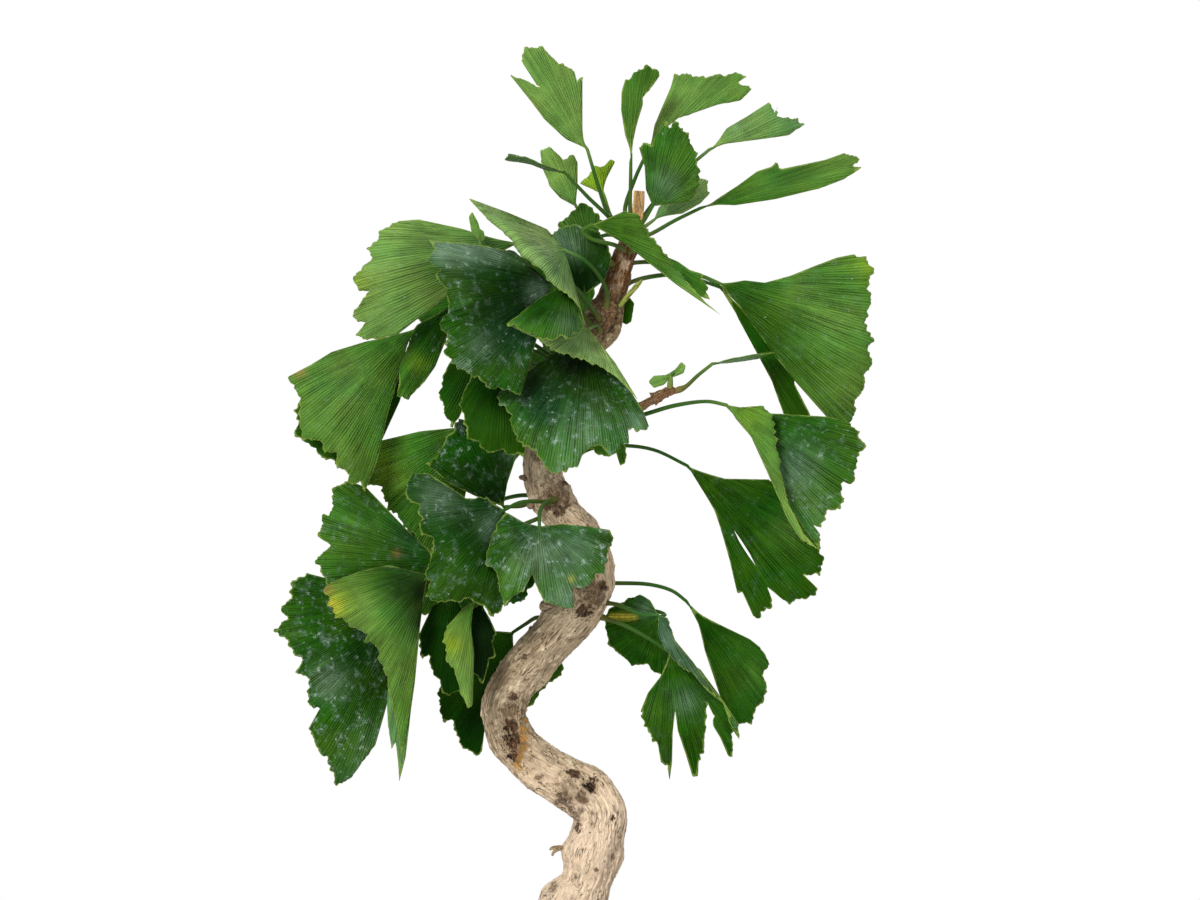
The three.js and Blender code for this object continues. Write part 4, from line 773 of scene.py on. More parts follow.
# Painted highlights beside the cracks, the cracks, corky pores, dark dots, and the rims and insides of
# wounds.
shaded = layered(tree, shaded, [
    (edges, srgb(250, 228, 196)), (cracks, srgb(76, 54, 36)), (times(tree, pores, 0.7), srgb(232, 208, 168)),
    (times(tree, dots, 0.8), srgb(60, 42, 30)), (times(tree, rim, 0.45), srgb(112, 78, 48)),
    (torn_bark, inner),
])
tree.links.new(shaded, shader.inputs["Base Color"])
fibre_bump = bumped(tree, shader, fibre, 0.0006)
rib_bump = bumped(tree, shader, ribs, 0.0012, under=fibre_bump)
height = maths(tree, "SUBTRACT", times(tree, pores, 0.6), plus(tree, cracks, torn_bark))
bumped(tree, shader, height, 0.0005, under=rib_bump)
finish_piece(trunk, bark_material, "wood", "trunk")

# ---- leaves ----
# Each leaf is a round stalk and one thin fan blade. The veins leave the stalk's end and fork on their
# way to the margin, which is waved and torn. Old leaves are dark, with white marks of hard water.

BLADE_THICKNESS = 0.42
BLADE_GRID = 1.15
MARGIN_STEP = 0.52
TOOTH_HEIGHT = 0.85
TOOTH_LENGTH = 1.9
TOOTH_EASE = 3  # the stretch of margin beside each bare side in which the teeth grow to full height
TOOTHED_SIZE = 24  # a blade this long has full teeth
EDGE_POINTS = 9  # along each bare side of a blade
WAVE_HEIGHT = 1.15
WAVED_SIZE = 60  # a blade this long has full waves
SIDE_HOLLOW = 0.07  # how far a blade's sides curve in towards the stalk, as a share of their length
PLEAT_HEIGHT = 0.07
FAN_CENTRE = 0.06  # how far the veins' centre lies behind the blade's base, as a share of its size
BACK_GREEN = 0.75  # share of the back's own green there
BACK_BLOOM = 0.3  # how much of the front's bloom the back has
FIRST_FORK = 0.006  # metres from the veins' centre
VEINS = 7.0  # veins a radian before the first fork
STALK_RADIUS = (0.96, 0.68)  # at the wood and where the blade begins
STALK_SIDES = 10
STALK_STEP = 0.7
VEIN_POINTS = 5  # where the stalk runs on into the blade
STALK_FAN = (0, 0.02, 5)  # a stalk's place in the fan, where it shows no veins and no rim
STALK_GREEN = srgb(46, 78, 28)
STALK_FOOT = srgb(126, 106, 62)
# Painted shadow: the near-black green is shade under folds and between leaves, not the leaves' own colour.
# Painted sheen: the grey green is light reflected off the blades, laid on in patches.
LEAF_GREENS = {
    "night": srgb(4, 24, 2), "deep": srgb(14, 48, 0), "dark": srgb(34, 78, 6), "mid": srgb(60, 104, 28),
    "fresh": srgb(82, 122, 46), "light": srgb(108, 146, 68), "young": srgb(130, 158, 36),
    "pale": srgb(122, 152, 86), "grey_sheen": srgb(108, 134, 108), "sage": srgb(90, 128, 74),
    "blue": srgb(30, 70, 40), "brown": srgb(150, 112, 64), "gold": srgb(206, 192, 70),
}

# The stalk runs from inside the wood to the base of the blade, and the rim round its margin: x, z and,
# where it leaves its plane, an offset in y. The slope is how far y changes with x and z, the bulge how far
# the middle swells forwards and the arch how far the margin does. The greens are the front, its outer part
# and the back, the bloom is how much it is spotted, and each patch has a tone, x, z, reach and strength.
# The patches are partly the leaf's own marks and partly painted shadow, painted sheen and painted shading.
Leaf = namedtuple("Leaf", "name stalk rim slope bulge arch greens bloom patches slit", defaults=((), ()))
LEAVES = [
    # top of the trunk
    Leaf("leaf_top_tall_left", [(20, -1, 356), (13.5, -7, 364), (9.5, -9, 375), (5, -10, 390)],
         [(-3.5, 394), (-12, 401.7), (-17.5, 409), (-26, 419.4), (-20.5, 417.6), (-14.8, 414.8),
          (-20.8, 424), (-20.3, 430.2), (-16.3, 429), (-13, 430.4), (-7, 424.3), (-0.3, 421.2), (1, 416.5),
          (3, 418.2), (3, 398)],
         (0.25, -0.15), 2, 3, "light light sage", 0),
    Leaf("leaf_top_edge_on", [(20, -2, 354), (14.5, -12, 362), (5, -20, 371), (-4, -25, 380.5)],
         [(-12, 382.5, -22), (-20, 386, -22), (-26, 387, -12), (-27.5, 385.5, 2), (-21, 385, 14),
          (-11, 382, 18)],
         (0, 0), 0, 0, "dark mid mid", 0),
    Leaf("leaf_top_small_left", [(21, 3, 355), (12, 10, 361), (4, 13, 365), (0.5, 14, 368)],
         [(-6, 371.5), (-10, 376), (-13.3, 384), (-14, 391), (-10.3, 392.5), (-5, 387.5), (-0.5, 389),
          (1, 386), (1, 376)],
         (0.2, 0.2), 1, 2, "light light sage", 0),
    Leaf("leaf_top_young", [(22, 2, 358), (15, 5, 363), (11.5, 6, 372.5)],
         [(6.5, 375), (2, 377), (5.5, 380.5), (8, 384), (11, 383.5), (14, 387), (16, 385.8), (12.5, 379)],
         (0.1, 0.1), 1, 1, "young young young", 0),
    Leaf("leaf_top_narrow", [(23, 0, 358), (22, -5, 367), (22.2, -6, 376), (22.3, -6, 385)],
         [(20, 396), (18.4, 406), (18.6, 413), (20, 418), (23.8, 421.2), (28, 423.6), (32, 423.2), (34, 420),
          (30.6, 415), (27, 411), (27.2, 408.5), (24.5, 399.5), (23.3, 394)],
         (0.3, 0), 0, 2, "fresh mid sage", 0.02),
    Leaf("leaf_top_upright", [(23, 2, 358), (20, 7, 366), (24, 9, 379), (29.5, 10, 391)],
         [(31.8, 400.5), (34.9, 408), (38.5, 416.3), (39.7, 420.8), (45, 422), (52, 420.4), (58, 421.9),
          (65, 422.3), (69, 420.8), (65, 418), (71.5, 416), (66.5, 411), (57, 409.2), (50, 406.7),
          (41, 403.4), (35.5, 399)],
         (0.2, 0.3), 2, 3, "light fresh sage", 0),
    Leaf("leaf_top_right", [(24, 2, 359), (32, 11, 370), (42, 18, 381), (54, 22, 391.3)],
         [(61, 400), (70, 405.3), (78.5, 410.9), (80, 406), (81.7, 408.8), (82, 405), (88, 404.2),
          (92.3, 401.6), (86, 397.3), (75, 395.7), (64, 394.2)],
         (0.2, 0.1), 1, 2, "light sage sage", 0.02,
         [("grey_sheen", 64, 402, 7, 0.3)]),
    Leaf("leaf_top_front", [(23, -1, 356), (27, -6, 361), (31, -10, 367.5)],
         [(28.3, 374), (27.8, 383), (25.4, 391), (28.5, 392.3), (30.5, 391.4), (33, 396.7), (36.5, 400),
          (38, 398.2), (39.6, 401.5), (45, 395), (47.8, 388), (49.3, 382), (49.3, 375), (45.3, 369)],
         (-0.35, -0.45), 3, 4, "mid mid sage", 0.1,
         [("grey_sheen", 36, 376, 6, 0.4), ("dark", 45, 362, 6, 0.4), ("fresh", 29, 367, 5, 0.4)]),
    Leaf("leaf_top_long_right", [(22, -1, 354), (30, -4, 356.5), (40, -5, 362), (50, -6, 366.8)],
         [(57, 370.7), (65, 376), (73, 381.9), (79, 383.9), (80.5, 386), (82, 382.7), (90, 384.4),
          (100, 386.5), (108, 389.4), (114.5, 386.6), (112, 384.5), (115, 383.6), (108, 378.8), (98, 374.9),
          (80, 370.5), (64, 368)],
         (0, 0.6), 1, 0, "mid fresh sage", 0.04,
         [("dark", 60, 369, 9, 0.5), ("dark", 90, 383, 6, 0.3)]),
    Leaf("leaf_top_pale_behind", [(23, 2, 357), (27.5, 3, 359.5), (31, 4, 362)],
         [(33.5, 367.5), (38, 371), (44, 380), (49, 381), (50, 378.8), (53, 378.3), (54, 373), (50.5, 369.3),
          (43, 365)],
         (0.1, 0.1), 1, 1, "sage pale sage", 0),
    Leaf("leaf_top_drooping", [(20, -3, 350), (15.5, -14.5, 352), (6, -17.5, 354.5), (3, -18.5, 357.5),
          (6.5, -18.5, 359.8)],
         [(12, 361.8), (20, 365.3), (25, 363.8), (29, 357), (36, 348), (44, 337.5), (52, 328.5), (58, 323.5),
          (51, 328.3), (40, 336), (30, 344), (21, 351.3), (14, 355.5)],
         (-0.4, 0), 2, -3, "mid fresh pale", 0.05,
         [("light", 48, 335, 10, 0.5), ("dark", 15, 356, 9, 0.5), ("pale", 44, 344, 3, 0.5)]),
    Leaf("leaf_top_under_drooping", [(20.5, -2, 349), (24, -5, 350.5), (29, -7, 350.3)],
         [(36, 347.6), (41, 345.5), (46, 342), (51, 340.5), (50.5, 338.5), (53, 336), (52.5, 333.5),
          (54.3, 330), (47, 332), (37, 339)],
         (-0.1, 0), 1, 1, "mid mid sage", 0),
    Leaf("leaf_neck_front", [(10, -4, 323), (6, -11, 327), (4, -13, 332)],
         [(-5, 336), (-10, 345), (-11, 355), (-5, 359.5), (3, 359.8), (10, 357), (13, 351.5), (14.5, 346),
          (12, 338)],
         (0, 0.06), 2, 1, "deep dark sage", 0.3,
         [("grey_sheen", -4, 352, 7, 0.45), ("night", 4, 340, 7, 0.6)]),
    Leaf("leaf_neck_behind", [(18, -1, 344), (11, -5, 346), (6, -5, 350)],
         [(-5, 354), (-7, 360.5), (0, 366.5), (3, 369.2), (7, 367.5), (7.5, 365.5), (10, 364), (9.5, 357)],
         (0, 0.12), 0, 0, "fresh mid sage", 0.1),
    Leaf("leaf_neck_small_right", [(14, 1, 325), (17.5, 3, 328.8), (19.6, 4, 330)],
         [(22, 331.5), (24, 328.5), (23, 325), (22.5, 321.5), (20.5, 320.5), (18.4, 321.5)],
         (0, 0.1), 0, 0, "dark dark sage", 0),
    # upper left
    # Painted sheen: its pale front stands in for light reflected off a blade seen nearly edge-on; its back
    # keeps the mid green.
    Leaf("leaf_upper_pale_fold", [(12, -4, 325), (13, -10, 332), (10, -19, 339), (4, -27, 345.5),
          (-4, -31, 349.5)],
         [(-11, 357.7, -1), (-26, 364, -3), (-42, 369.8, -6), (-33, 360, -11), (-28, 356, -14),
          (-23, 350, -17), (-20, 345.5, -18), (-15, 342.5, -20), (-9, 336, -20), (-3, 331.5, -18),
          (2, 326.5, -16), (4.2, 319, -13), (1, 332, -7)],
         (0, 0), 4, 0, "pale pale mid", 0.1,
         [("sage", -4, 343, 10, 0.8), ("light", -24, 360, 7, 0.5)]),
    Leaf("leaf_upper_lobe", [(10, -5, 322), (6, -20, 328), (1, -30, 334), (-3, -38, 336)],
         [(-14, 330), (-26.8, 319.8, -2), (-18, 316.5, -3), (-12, 313.3, -3), (-6, 314.7, -2),
          (-3, 313.3, -1), (4, 319)],
         (0.1, 0.6), 3, 2, "dark mid sage", 0.15,
         [("mid", -12, 318, 7, 0.5), ("deep", -12, 327, 9, 0.5), ("grey_sheen", -3, 320, 5, 0.3)]),
    Leaf("leaf_upper_dark_front", [(8, -3, 318), (2, -14, 326), (-3, -26, 333), (-9, -33, 336)],
         [(-24, 349), (-40, 351.5, 1), (-57, 352.8, 3), (-55, 349.5, 1), (-58, 345), (-53, 341.5, -2),
          (-54.5, 338, -4), (-50.5, 333, -5), (-49.5, 327, -6), (-53, 319.3, -6), (-50, 316, -6),
          (-50.7, 309, -6), (-46, 301.5, -5), (-38, 299.5, -4), (-34, 294, -3), (-29, 294.7, -2),
          (-21, 292.3, -4), (-18, 303, -2)],
         (0.3, 0.1), 5, 4, "deep dark sage", 0.6,
         [("night", -12, 330, 15, 0.85), ("night", -30, 326, 12, 0.5), ("blue", -24, 314, 12, 0.6),
          ("mid", -22, 300, 10, 0.5), ("grey_sheen", -52, 349, 6, 0.8), ("grey_sheen", -42, 349, 6, 0.8),
          ("grey_sheen", -31, 349, 5, 0.7), ("sage", -22, 347, 4, 0.6), ("grey_sheen", -14, 333, 5, 0.4),
          ("grey_sheen", -37, 311, 5, 0.35), ("grey_sheen", -44, 303, 3, 0.6), ("fresh", -46, 332, 5, 0.3)]),
    Leaf("leaf_upper_light_left", [(9, -1, 322), (-2, -7, 338), (-12, -10, 350), (-22, -12, 353)],
         [(-45, 358.3), (-62, 361.8), (-70, 361), (-77, 357), (-79, 353), (-82.3, 350), (-79.5, 346),
          (-84.5, 342), (-87.5, 337), (-84, 333), (-81, 332.8), (-88.5, 323), (-86, 321), (-82, 321),
          (-86.5, 315.5), (-80, 313.8), (-70, 316), (-60, 324), (-48, 333)],
         (0.3, 0.15), 4, 5, "light light sage", 0.25,
         [("dark", -30, 344, 14, 0.75), ("mid", -52, 342, 9, 0.5), ("young", -86, 336, 5, 0.5),
          ("light", -75, 318, 12, 0.6), ("mid", -60, 300, 7, 0.5)]),
    Leaf("leaf_upper_sprout", [(4, -5, 308), (-16, -17, 330), (-32, -26, 344), (-37.5, -28, 352)],
         [(-41, 357), (-42, 362.5), (-40.5, 364.5), (-38.5, 361), (-37.5, 358), (-36, 357), (-35.5, 354)],
         (0, 0), 0, 0, "light light sage", 0),
    Leaf("leaf_upper_dark_hanging", [(0, 0, 302), (-18, -5, 320), (-36, -10, 330), (-47, -12, 331)],
         [(-63, 320), (-69, 305), (-70.5, 293), (-69, 290.5), (-66, 291), (-60, 297), (-55.5, 303.5),
          (-51, 315)],
         (0.35, 0), 2, 4, "dark mid sage", 0.15,
         [("night", -50, 312, 7, 0.5), ("young", -62, 304, 4, 0.3)]),
    # Painted shading: lighter on the left and darker towards the base on the right, as the blade curves.
    Leaf("leaf_upper_broad_left", [(-1, 3, 301), (-20, 3, 314.6), (-44, 3.5, 321.6), (-63.5, 2.5, 319)],
         [(-84, 313.5), (-97, 309.4), (-105, 304.3), (-113.5, 299.7), (-112.5, 296.5), (-109, 290.5),
          (-109.3, 281), (-107.5, 274.5), (-101, 273.5), (-99.5, 269), (-94.5, 269.5), (-95, 263.5),
          (-91, 262), (-88.5, 256), (-85.5, 258.5), (-83.7, 253), (-78.5, 266), (-74.5, 285), (-69, 304)],
         (0.28, 0.25), 4.2, 5, "mid fresh sage", 0.12,
         [("light", -92, 296, 14, 0.45), ("dark", -64, 282, 13, 0.7), ("deep", -62, 296, 9, 0.6),
          ("brown", -110, 302, 3, 0.7), ("mid", -72, 309, 8, 0.5), ("mid", -84, 262, 10, 0.4)]),
    Leaf("leaf_upper_broad_behind", [(-2, 5, 296), (-22, 8, 308), (-44, 9, 314), (-62, 8, 312)],
         [(-84, 306), (-100, 298), (-109, 291), (-111.5, 286), (-109.5, 281), (-112.3, 276), (-108, 273.8),
          (-103, 270.5), (-100, 266.5), (-97, 266.5), (-94, 263), (-87, 262), (-78, 272), (-70, 290)],
         (0.3, 0.25), 4, 3, "deep dark sage", 0.1),
    # Painted shadow: the fold above shades the top of this leaf, painted near-black.
    Leaf("leaf_upper_front_middle", [(8, -3, 313), (6, -13, 316), (4, -22, 317)],
         [(-14, 305), (-30, 293), (-30.5, 288.5), (-25, 284.5), (-25, 279), (-22, 273.5), (-15, 270),
          (-12, 264), (-8.5, 261), (1, 263), (3, 268), (5, 271), (10, 271.8), (14, 268), (17.5, 271.5),
          (21.5, 273.5), (21, 279), (26, 277), (29.5, 279), (27, 286), (16.5, 302)],
         (0, 0.5), 5, 4, "dark mid sage", 0.8,
         [("night", 0, 304, 13, 0.97), ("night", -16, 296, 10, 0.95), ("deep", 12, 298, 8, 0.8),
          ("blue", -12, 284, 10, 0.6), ("grey_sheen", 4, 278, 10, 0.35), ("grey_sheen", 24, 280, 6, 0.5),
          ("sage", 0, 264, 10, 0.6)]),
    Leaf("leaf_upper_front_fold", [(10, -5, 317), (9, -16, 320), (5.5, -28, 318.3)],
         [(-8, 322, -8), (-26, 319.5, -3), (-15, 314, -2), (-8, 309, -1), (0, 307), (6, 304.5), (10, 303),
          (16, 299.5, -1), (21.5, 294, -1), (25, 290, -1), (16.2, 304.5, -3)],
         (0.7, 0.95), 0, 0, "pale pale mid", 0.05,
         [("sage", -2, 313, 10, 0.3)]),
    Leaf("leaf_upper_under_middle", [(-6, 2, 289), (2, -4, 290), (8, -9, 287), (10, -11, 283)],
         [(3, 277), (3, 270.5), (7, 271), (10, 268), (13.5, 267.5), (16, 270.5), (18, 264), (20, 265),
          (20.5, 271), (17, 278)],
         (0, 0.2), 0, 0, "mid mid sage", 0),
    Leaf("leaf_upper_low_left", [(0, -1, 301), (-17, -9, 310), (-36, -15, 314)],
         [(-48, 308), (-53, 299), (-53.5, 290), (-51, 284), (-48.8, 279.7), (-46, 283), (-43, 290),
          (-38, 302)],
         (0.1, 0.1), 1, 1, "deep dark sage", 0,
         [("deep", -48, 302, 9, 0.5)]),
    Leaf("leaf_upper_low_middle", [(-3, -2, 295), (-16, -16, 304), (-29, -24, 307)],
         [(-40, 302), (-45, 291), (-44, 280), (-42, 275), (-38, 273), (-35, 269), (-30, 270), (-24, 268),
          (-20, 268), (-18, 280), (-20, 294)],
         (0, 0.2), 2, 2, "deep dark sage", 0,
         [("deep", -28, 300, 10, 0.6)]),
    # middle left
    Leaf("leaf_middle_light_behind", [(-12, 4, 270), (-20, 6, 280), (-38, 4, 280.5)],
         [(-50, 279), (-62, 277.8), (-80, 273.5), (-84, 266), (-83, 256), (-77, 255.5), (-77, 251),
          (-74.5, 249.5), (-75, 246), (-70, 244), (-68.5, 239), (-63, 236), (-58, 229), (-50, 234),
          (-44, 252)],
         (0.05, -0.05), 3, 3, "mid mid sage", 0.15,
         [("young", -76, 262, 10, 0.35), ("deep", -54, 246, 7, 0.6), ("dark", -60, 258, 6, 0.4)]),
    Leaf("leaf_middle_dark_behind", [(-13, 3, 254), (-20, -1, 248.3), (-28.5, -4, 247.6)],
         [(-40, 252), (-50, 257), (-59, 264.5), (-55, 268), (-51, 275), (-46, 283), (-40, 280), (-33, 279),
          (-26, 275), (-21.5, 269), (-24, 266), (-27, 257)],
         (0.1, -0.15), 2, 2, "deep dark sage", 0.8,
         [("night", -34, 252, 8, 0.7), ("sage", -24, 268, 5, 0.5)]),
    Leaf("leaf_middle_star_left", [(-8, -3, 249), (-15, -13, 249.8), (-22, -18, 249.4), (-28, -20, 246.5)],
         [(-33, 249.5), (-35, 252), (-43, 251), (-50, 256), (-58, 261), (-65, 261), (-67, 255.5), (-66, 250),
          (-61, 248.5), (-61.5, 243), (-60.5, 237), (-55.5, 236), (-56.5, 229), (-59, 220.5), (-57, 219),
          (-59, 212), (-50, 209.5), (-42, 211.5), (-38, 210), (-33, 203.7), (-28, 208.5), (-21, 210),
          (-18, 215), (-15.5, 219), (-21, 233)],
         (0.2, 0.15), 3, 3, "deep dark sage", 0.6,
         [("deep", -38, 232, 12, 0.6), ("grey_sheen", -54, 252, 8, 0.4), ("grey_sheen", -32, 240, 6, 0.4),
          ("mid", -50, 222, 8, 0.4)]),
    Leaf("leaf_middle_star_right", [(-7, -4, 251), (-12, -16, 249), (-14, -24, 245), (-14, -27, 240)],
         [(-20, 241.5), (-27, 245.5), (-31, 241), (-34, 233), (-36, 225), (-31, 223), (-30, 217), (-28, 208),
          (-24, 213), (-20, 215), (-17, 221), (-14, 214), (-12, 210), (-8, 209), (0, 207.5), (-1, 216),
          (6, 216), (8, 221), (12, 222), (13, 229), (15, 234), (14.5, 238.5), (5, 240), (-5, 241)],
         (0, 0.3), 3, 2, "dark mid sage", 0.95,
         [("deep", 16, 232, 8, 0.7), ("blue", -20, 236, 8, 0.5), ("grey_sheen", 0, 230, 8, 0.5),
          ("grey_sheen", -2, 212, 8, 0.6), ("grey_sheen", -14, 228, 8, 0.55), ("sage", -22, 222, 6, 0.5),
          ("mid", 14, 220, 6, 0.5), ("gold", -1.4, 219.3, 1.4, 0.35)]),
    Leaf("leaf_middle_broad_left", [(0, 0, 236), (-20, -2, 238), (-38, -6, 233), (-52, -9, 226.5)],
         [(-66, 237.5), (-83, 255.3), (-87, 257), (-91, 258.3), (-95.5, 255.5), (-97, 252), (-96, 246),
          (-100, 244), (-102, 236), (-97.5, 232.5), (-103.5, 226.5), (-100, 221), (-98, 215), (-88, 214),
          (-72, 218)],
         (0.1, 0), 3, 3, "dark mid sage", 0.3,
         [("brown", -71, 229, 1.6, 0.7), ("blue", -66, 236, 9, 0.6), ("fresh", -88, 240, 10, 0.4),
          ("dark", -76, 216, 8, 0.5)]),
    Leaf("leaf_middle_pale_curled", [(0, -2, 230), (-18, -8, 230), (-40, -15, 226), (-58, -18, 220.5)],
         [(-74, 224.5, 2), (-86, 222, 3), (-96, 218, 4), (-100, 215.3, 4), (-98, 210, 2), (-95, 204),
          (-90, 202.3), (-87, 199.3), (-82.5, 198), (-83, 194.5), (-79, 193.5), (-77, 187), (-74, 178),
          (-71, 164), (-68.5, 148), (-66, 160), (-63.5, 178), (-61.5, 200)],
         (0.15, 0.1), 6, 5, "fresh fresh dark", 0.1,
         [("light", -84, 205, 8, 0.4), ("young", -95, 209, 6, 0.8), ("gold", -97, 208, 3.5, 0.6),
          ("brown", -100, 215.5, 3, 0.95), ("mid", -67, 168, 8, 0.6), ("mid", -72, 205, 7, 0.5),
          ("dark", -78, 220, 7, 0.7), ("deep", -70, 219, 9, 0.85), ("night", -61, 214, 10, 0.97),
          ("night", -60, 202, 7, 0.95)]),
    Leaf("leaf_middle_pale_behind", [(-5, 1, 243), (-24, 3, 230), (-48, -1, 220), (-64, -6, 208)],
         [(-73, 190), (-75, 170), (-74.5, 160), (-73, 151), (-71.5, 154), (-70.5, 146), (-70, 138),
          (-67.5, 148), (-65, 170)],
         (0.05, 0.05), 1, 1, "sage sage sage", 0),
    Leaf("leaf_middle_dark_spotted", [(-7, 2, 246), (-28, 7, 237), (-52, 6, 222), (-70, 4, 206)],
         [(-88, 216), (-107, 221), (-113, 217.5), (-113.5, 211), (-117.5, 208), (-115, 203), (-119.8, 198),
          (-115, 194), (-113, 189), (-108.5, 186), (-112.3, 181), (-106, 179), (-107, 168), (-102, 167),
          (-106.5, 159), (-103, 150), (-99, 147), (-95.5, 136), (-90, 138.5), (-86, 144), (-80, 152),
          (-76, 166), (-72, 182)],
         (0.1, -0.05), 4, 4, "dark dark sage", 0.9,
         [("grey_sheen", -98, 178, 7, 0.5), ("sage", -76, 152, 11, 0.6), ("night", -88, 188, 7, 0.6),
          ("mid", -98, 150, 8, 0.5), ("sage", -86, 136, 9, 0.6), ("mid", -112, 196, 7, 0.4),
          ("deep", -76, 178, 8, 0.6)]),
    Leaf("leaf_middle_flap", [(2, -5, 226), (-14, -14, 225), (-30, -19, 219), (-40, -21, 211)],
         [(-45, 207), (-51, 200), (-52, 195), (-50.5, 186), (-48, 183.5), (-45.5, 175), (-42.5, 168),
          (-40.5, 170), (-40, 190)],
         (0.3, 0.1), 2, 1, "fresh light mid", 0,
         [("young", -49, 193, 4, 0.8), ("mid", -42, 204, 5, 0.5)]),
    # Painted shadow: this leaf lies in shade between the others, and is painted near-black all over.
    Leaf("leaf_middle_flap_dark", [(4, -4, 221), (-12, -8, 221.5), (-27, -11, 217), (-37, -13, 210)],
         [(-43.5, 205), (-41, 182), (-36.5, 177), (-34, 186), (-31.5, 189), (-33, 194), (-31, 197),
          (-34, 203.5)],
         (0.1, 0.1), 1, 1, "night night night", 0),
    Leaf("leaf_middle_deep", [(1, -2, 234), (-18, -3, 229), (-38, -5, 221), (-49, -5, 214)],
         [(-57, 208), (-62.5, 196), (-61.5, 187), (-58.5, 188), (-57, 182), (-54, 178), (-53, 174),
          (-50, 172), (-45, 175), (-41, 186), (-42, 202)],
         (0.1, 0), 2, 2, "deep deep sage", 0),
    Leaf("leaf_middle_low", [(-11, 4, 202), (-15.5, 10, 203), (-20, 14, 200.3), (-25, 17, 197)],
         [(-32, 197.5), (-38, 190), (-51, 179), (-55, 174), (-54.5, 164), (-52.5, 161), (-49, 161),
          (-48, 156), (-45, 150.5), (-42, 150.5), (-40, 147), (-37.5, 149), (-36.5, 157), (-30, 166),
          (-24, 184)],
         (0, -0.02), 0, 0, "dark deep sage", 0,
         [("night", -40, 160, 8, 0.6)]),
    Leaf("leaf_middle_behind_trunk", [(-12, 5, 190), (-12, 13, 197), (-13, 17, 193.5)],
         [(-6, 187.5), (-4.3, 182), (-8, 178), (-13, 174.5), (-17, 168), (-22, 164), (-26, 175)],
         (0, 0.05), 0, 0, "dark mid sage", 0),
    # right
    Leaf("leaf_right_broad", [(16.5, 1, 334), (25, 4, 338.5), (38, 5, 340.7), (50, 5, 340.2),
          (57, 5, 337.5)],
         [(68, 338.3), (76, 337.3), (86, 340), (96, 344), (105, 347.4), (112, 348.7), (116, 347),
          (119.8, 342), (117, 336.5), (119, 329), (116, 321.5), (119.3, 315), (117, 310.5), (119, 306),
          (116.5, 302), (115.5, 294), (112, 290.5), (113, 286), (109.5, 280.5), (101, 283.5), (89, 297),
          (80, 308)],
         (0, -0.1), 3, 4, "mid fresh sage", 0.15,
         [("deep", 66, 332, 10, 0.6), ("dark", 76, 320, 12, 0.7), ("young", 118, 344, 7, 0.5),
          ("light", 104, 322, 12, 0.4), ("light", 92, 336, 10, 0.3), ("dark", 90, 302, 10, 0.5)]),
    Leaf("leaf_right_broad_lobe", [(16, 3, 334), (25, 9.5, 338.5), (38, 11, 340.7), (50, 11, 340.2),
          (57, 10, 337.3)],
         [(65.5, 323), (72, 311), (79, 298), (84, 284), (88, 276), (93, 279), (94.5, 284.5), (88, 297),
          (87, 315)],
         (0, -0.05), 1, 0, "dark dark sage", 0),
    Leaf("leaf_right_folded", [(-5, 5, 285), (10, 8, 281), (26, 6, 284.2), (40, 3, 288.2), (53, 1, 289.7),
          (60.5, 0, 288.2)],
         [(76, 285), (85, 284.6), (102, 283.5), (110, 281), (112.5, 278), (115.5, 271.5), (112, 265),
          (111, 258), (106.5, 256.5), (107.3, 250), (105.5, 247), (101, 246.5), (98.5, 239.5), (95, 240.5),
          (98, 236.5), (97, 231), (82, 252)],
         (-0.15, 0.05), 3, 3, "dark mid sage", 0.55,
         [("grey_sheen", 88, 262, 9, 0.5), ("deep", 76, 282, 8, 0.6), ("sage", 96, 244, 7, 0.5),
          ("dark", 108, 274, 7, 0.4)]),
    Leaf("leaf_right_fold", [(-4, 2, 284), (10, 2, 280.5), (26, 1.5, 284), (40, -2, 288), (53, -4, 289.7),
          (60.5, -6, 288.3)],
         [(66, 287.3), (75, 288), (78, 285.5), (80, 276), (82, 262), (85, 249), (91, 237), (97, 230.5),
          (90, 234.5), (84.5, 243), (77.5, 259.5), (70.3, 275.5), (64, 283)],
         (-0.2, 0.1), 2, 1, "fresh light mid", 0,
         [("young", 70, 284, 6, 0.4)]),
    Leaf("leaf_right_split", [(-10, 4, 266), (0, 4, 268.3), (8, 4, 271.3), (21, 4, 272), (32, 5, 270.2),
          (45, 6, 264)],
         [(60, 258.8), (78, 258.5), (88, 248), (96, 237), (99.5, 226), (98, 220), (91.5, 220.5), (97, 215),
          (96, 211.5), (90, 210.5), (86, 209), (83, 210.5), (77, 215.5), (79.3, 209.5), (78, 206.5),
          (74.5, 205.5), (74, 203), (71.5, 203.5), (67, 213.5), (65, 213), (62, 226)],
         (0.05, 0), 2, 2, "dark dark sage", 0.1,
         [("deep", 66, 248, 9, 0.6), ("fresh", 84, 238, 8, 0.4), ("deep", 62, 214, 8, 0.4),
          ("fresh", 52, 236, 6, 0.3)],
         [(63.6, 238.4), (66.6, 234.2), (70, 228.8), (72.6, 223.6), (69.2, 228.2), (65.8, 233.6)]),
    Leaf("leaf_twig_tiny", [(38, -2, 294), (38, -3, 296.5), (38.4, -3.5, 299.3)],
         [(35.5, 296.3), (31.5, 295), (29.3, 297.5), (31.5, 300), (36.5, 300.3), (40, 302.5), (42.5, 305.6),
          (44.3, 304), (43.5, 301), (40, 299.6)],
         (0, 0), 0, 0, "light light sage", 0),
    Leaf("leaf_twig_edge_on", [(39, -2, 293.5), (44, -1, 295.5), (49, 0, 300), (55, 0, 304.8)],
         [(62, 306.6, -11), (71, 308.3, -13), (78, 309.3, -8), (80, 309, 0), (77, 308, 8), (70, 306.6, 12),
          (61, 305.4, 9)],
         (0, 0), 0, 0, "light mid mid", 0),
    Leaf("leaf_low_right_single", [(8, 0, 217), (16, 3, 217), (30, 5, 216.4), (39, 7, 213.8),
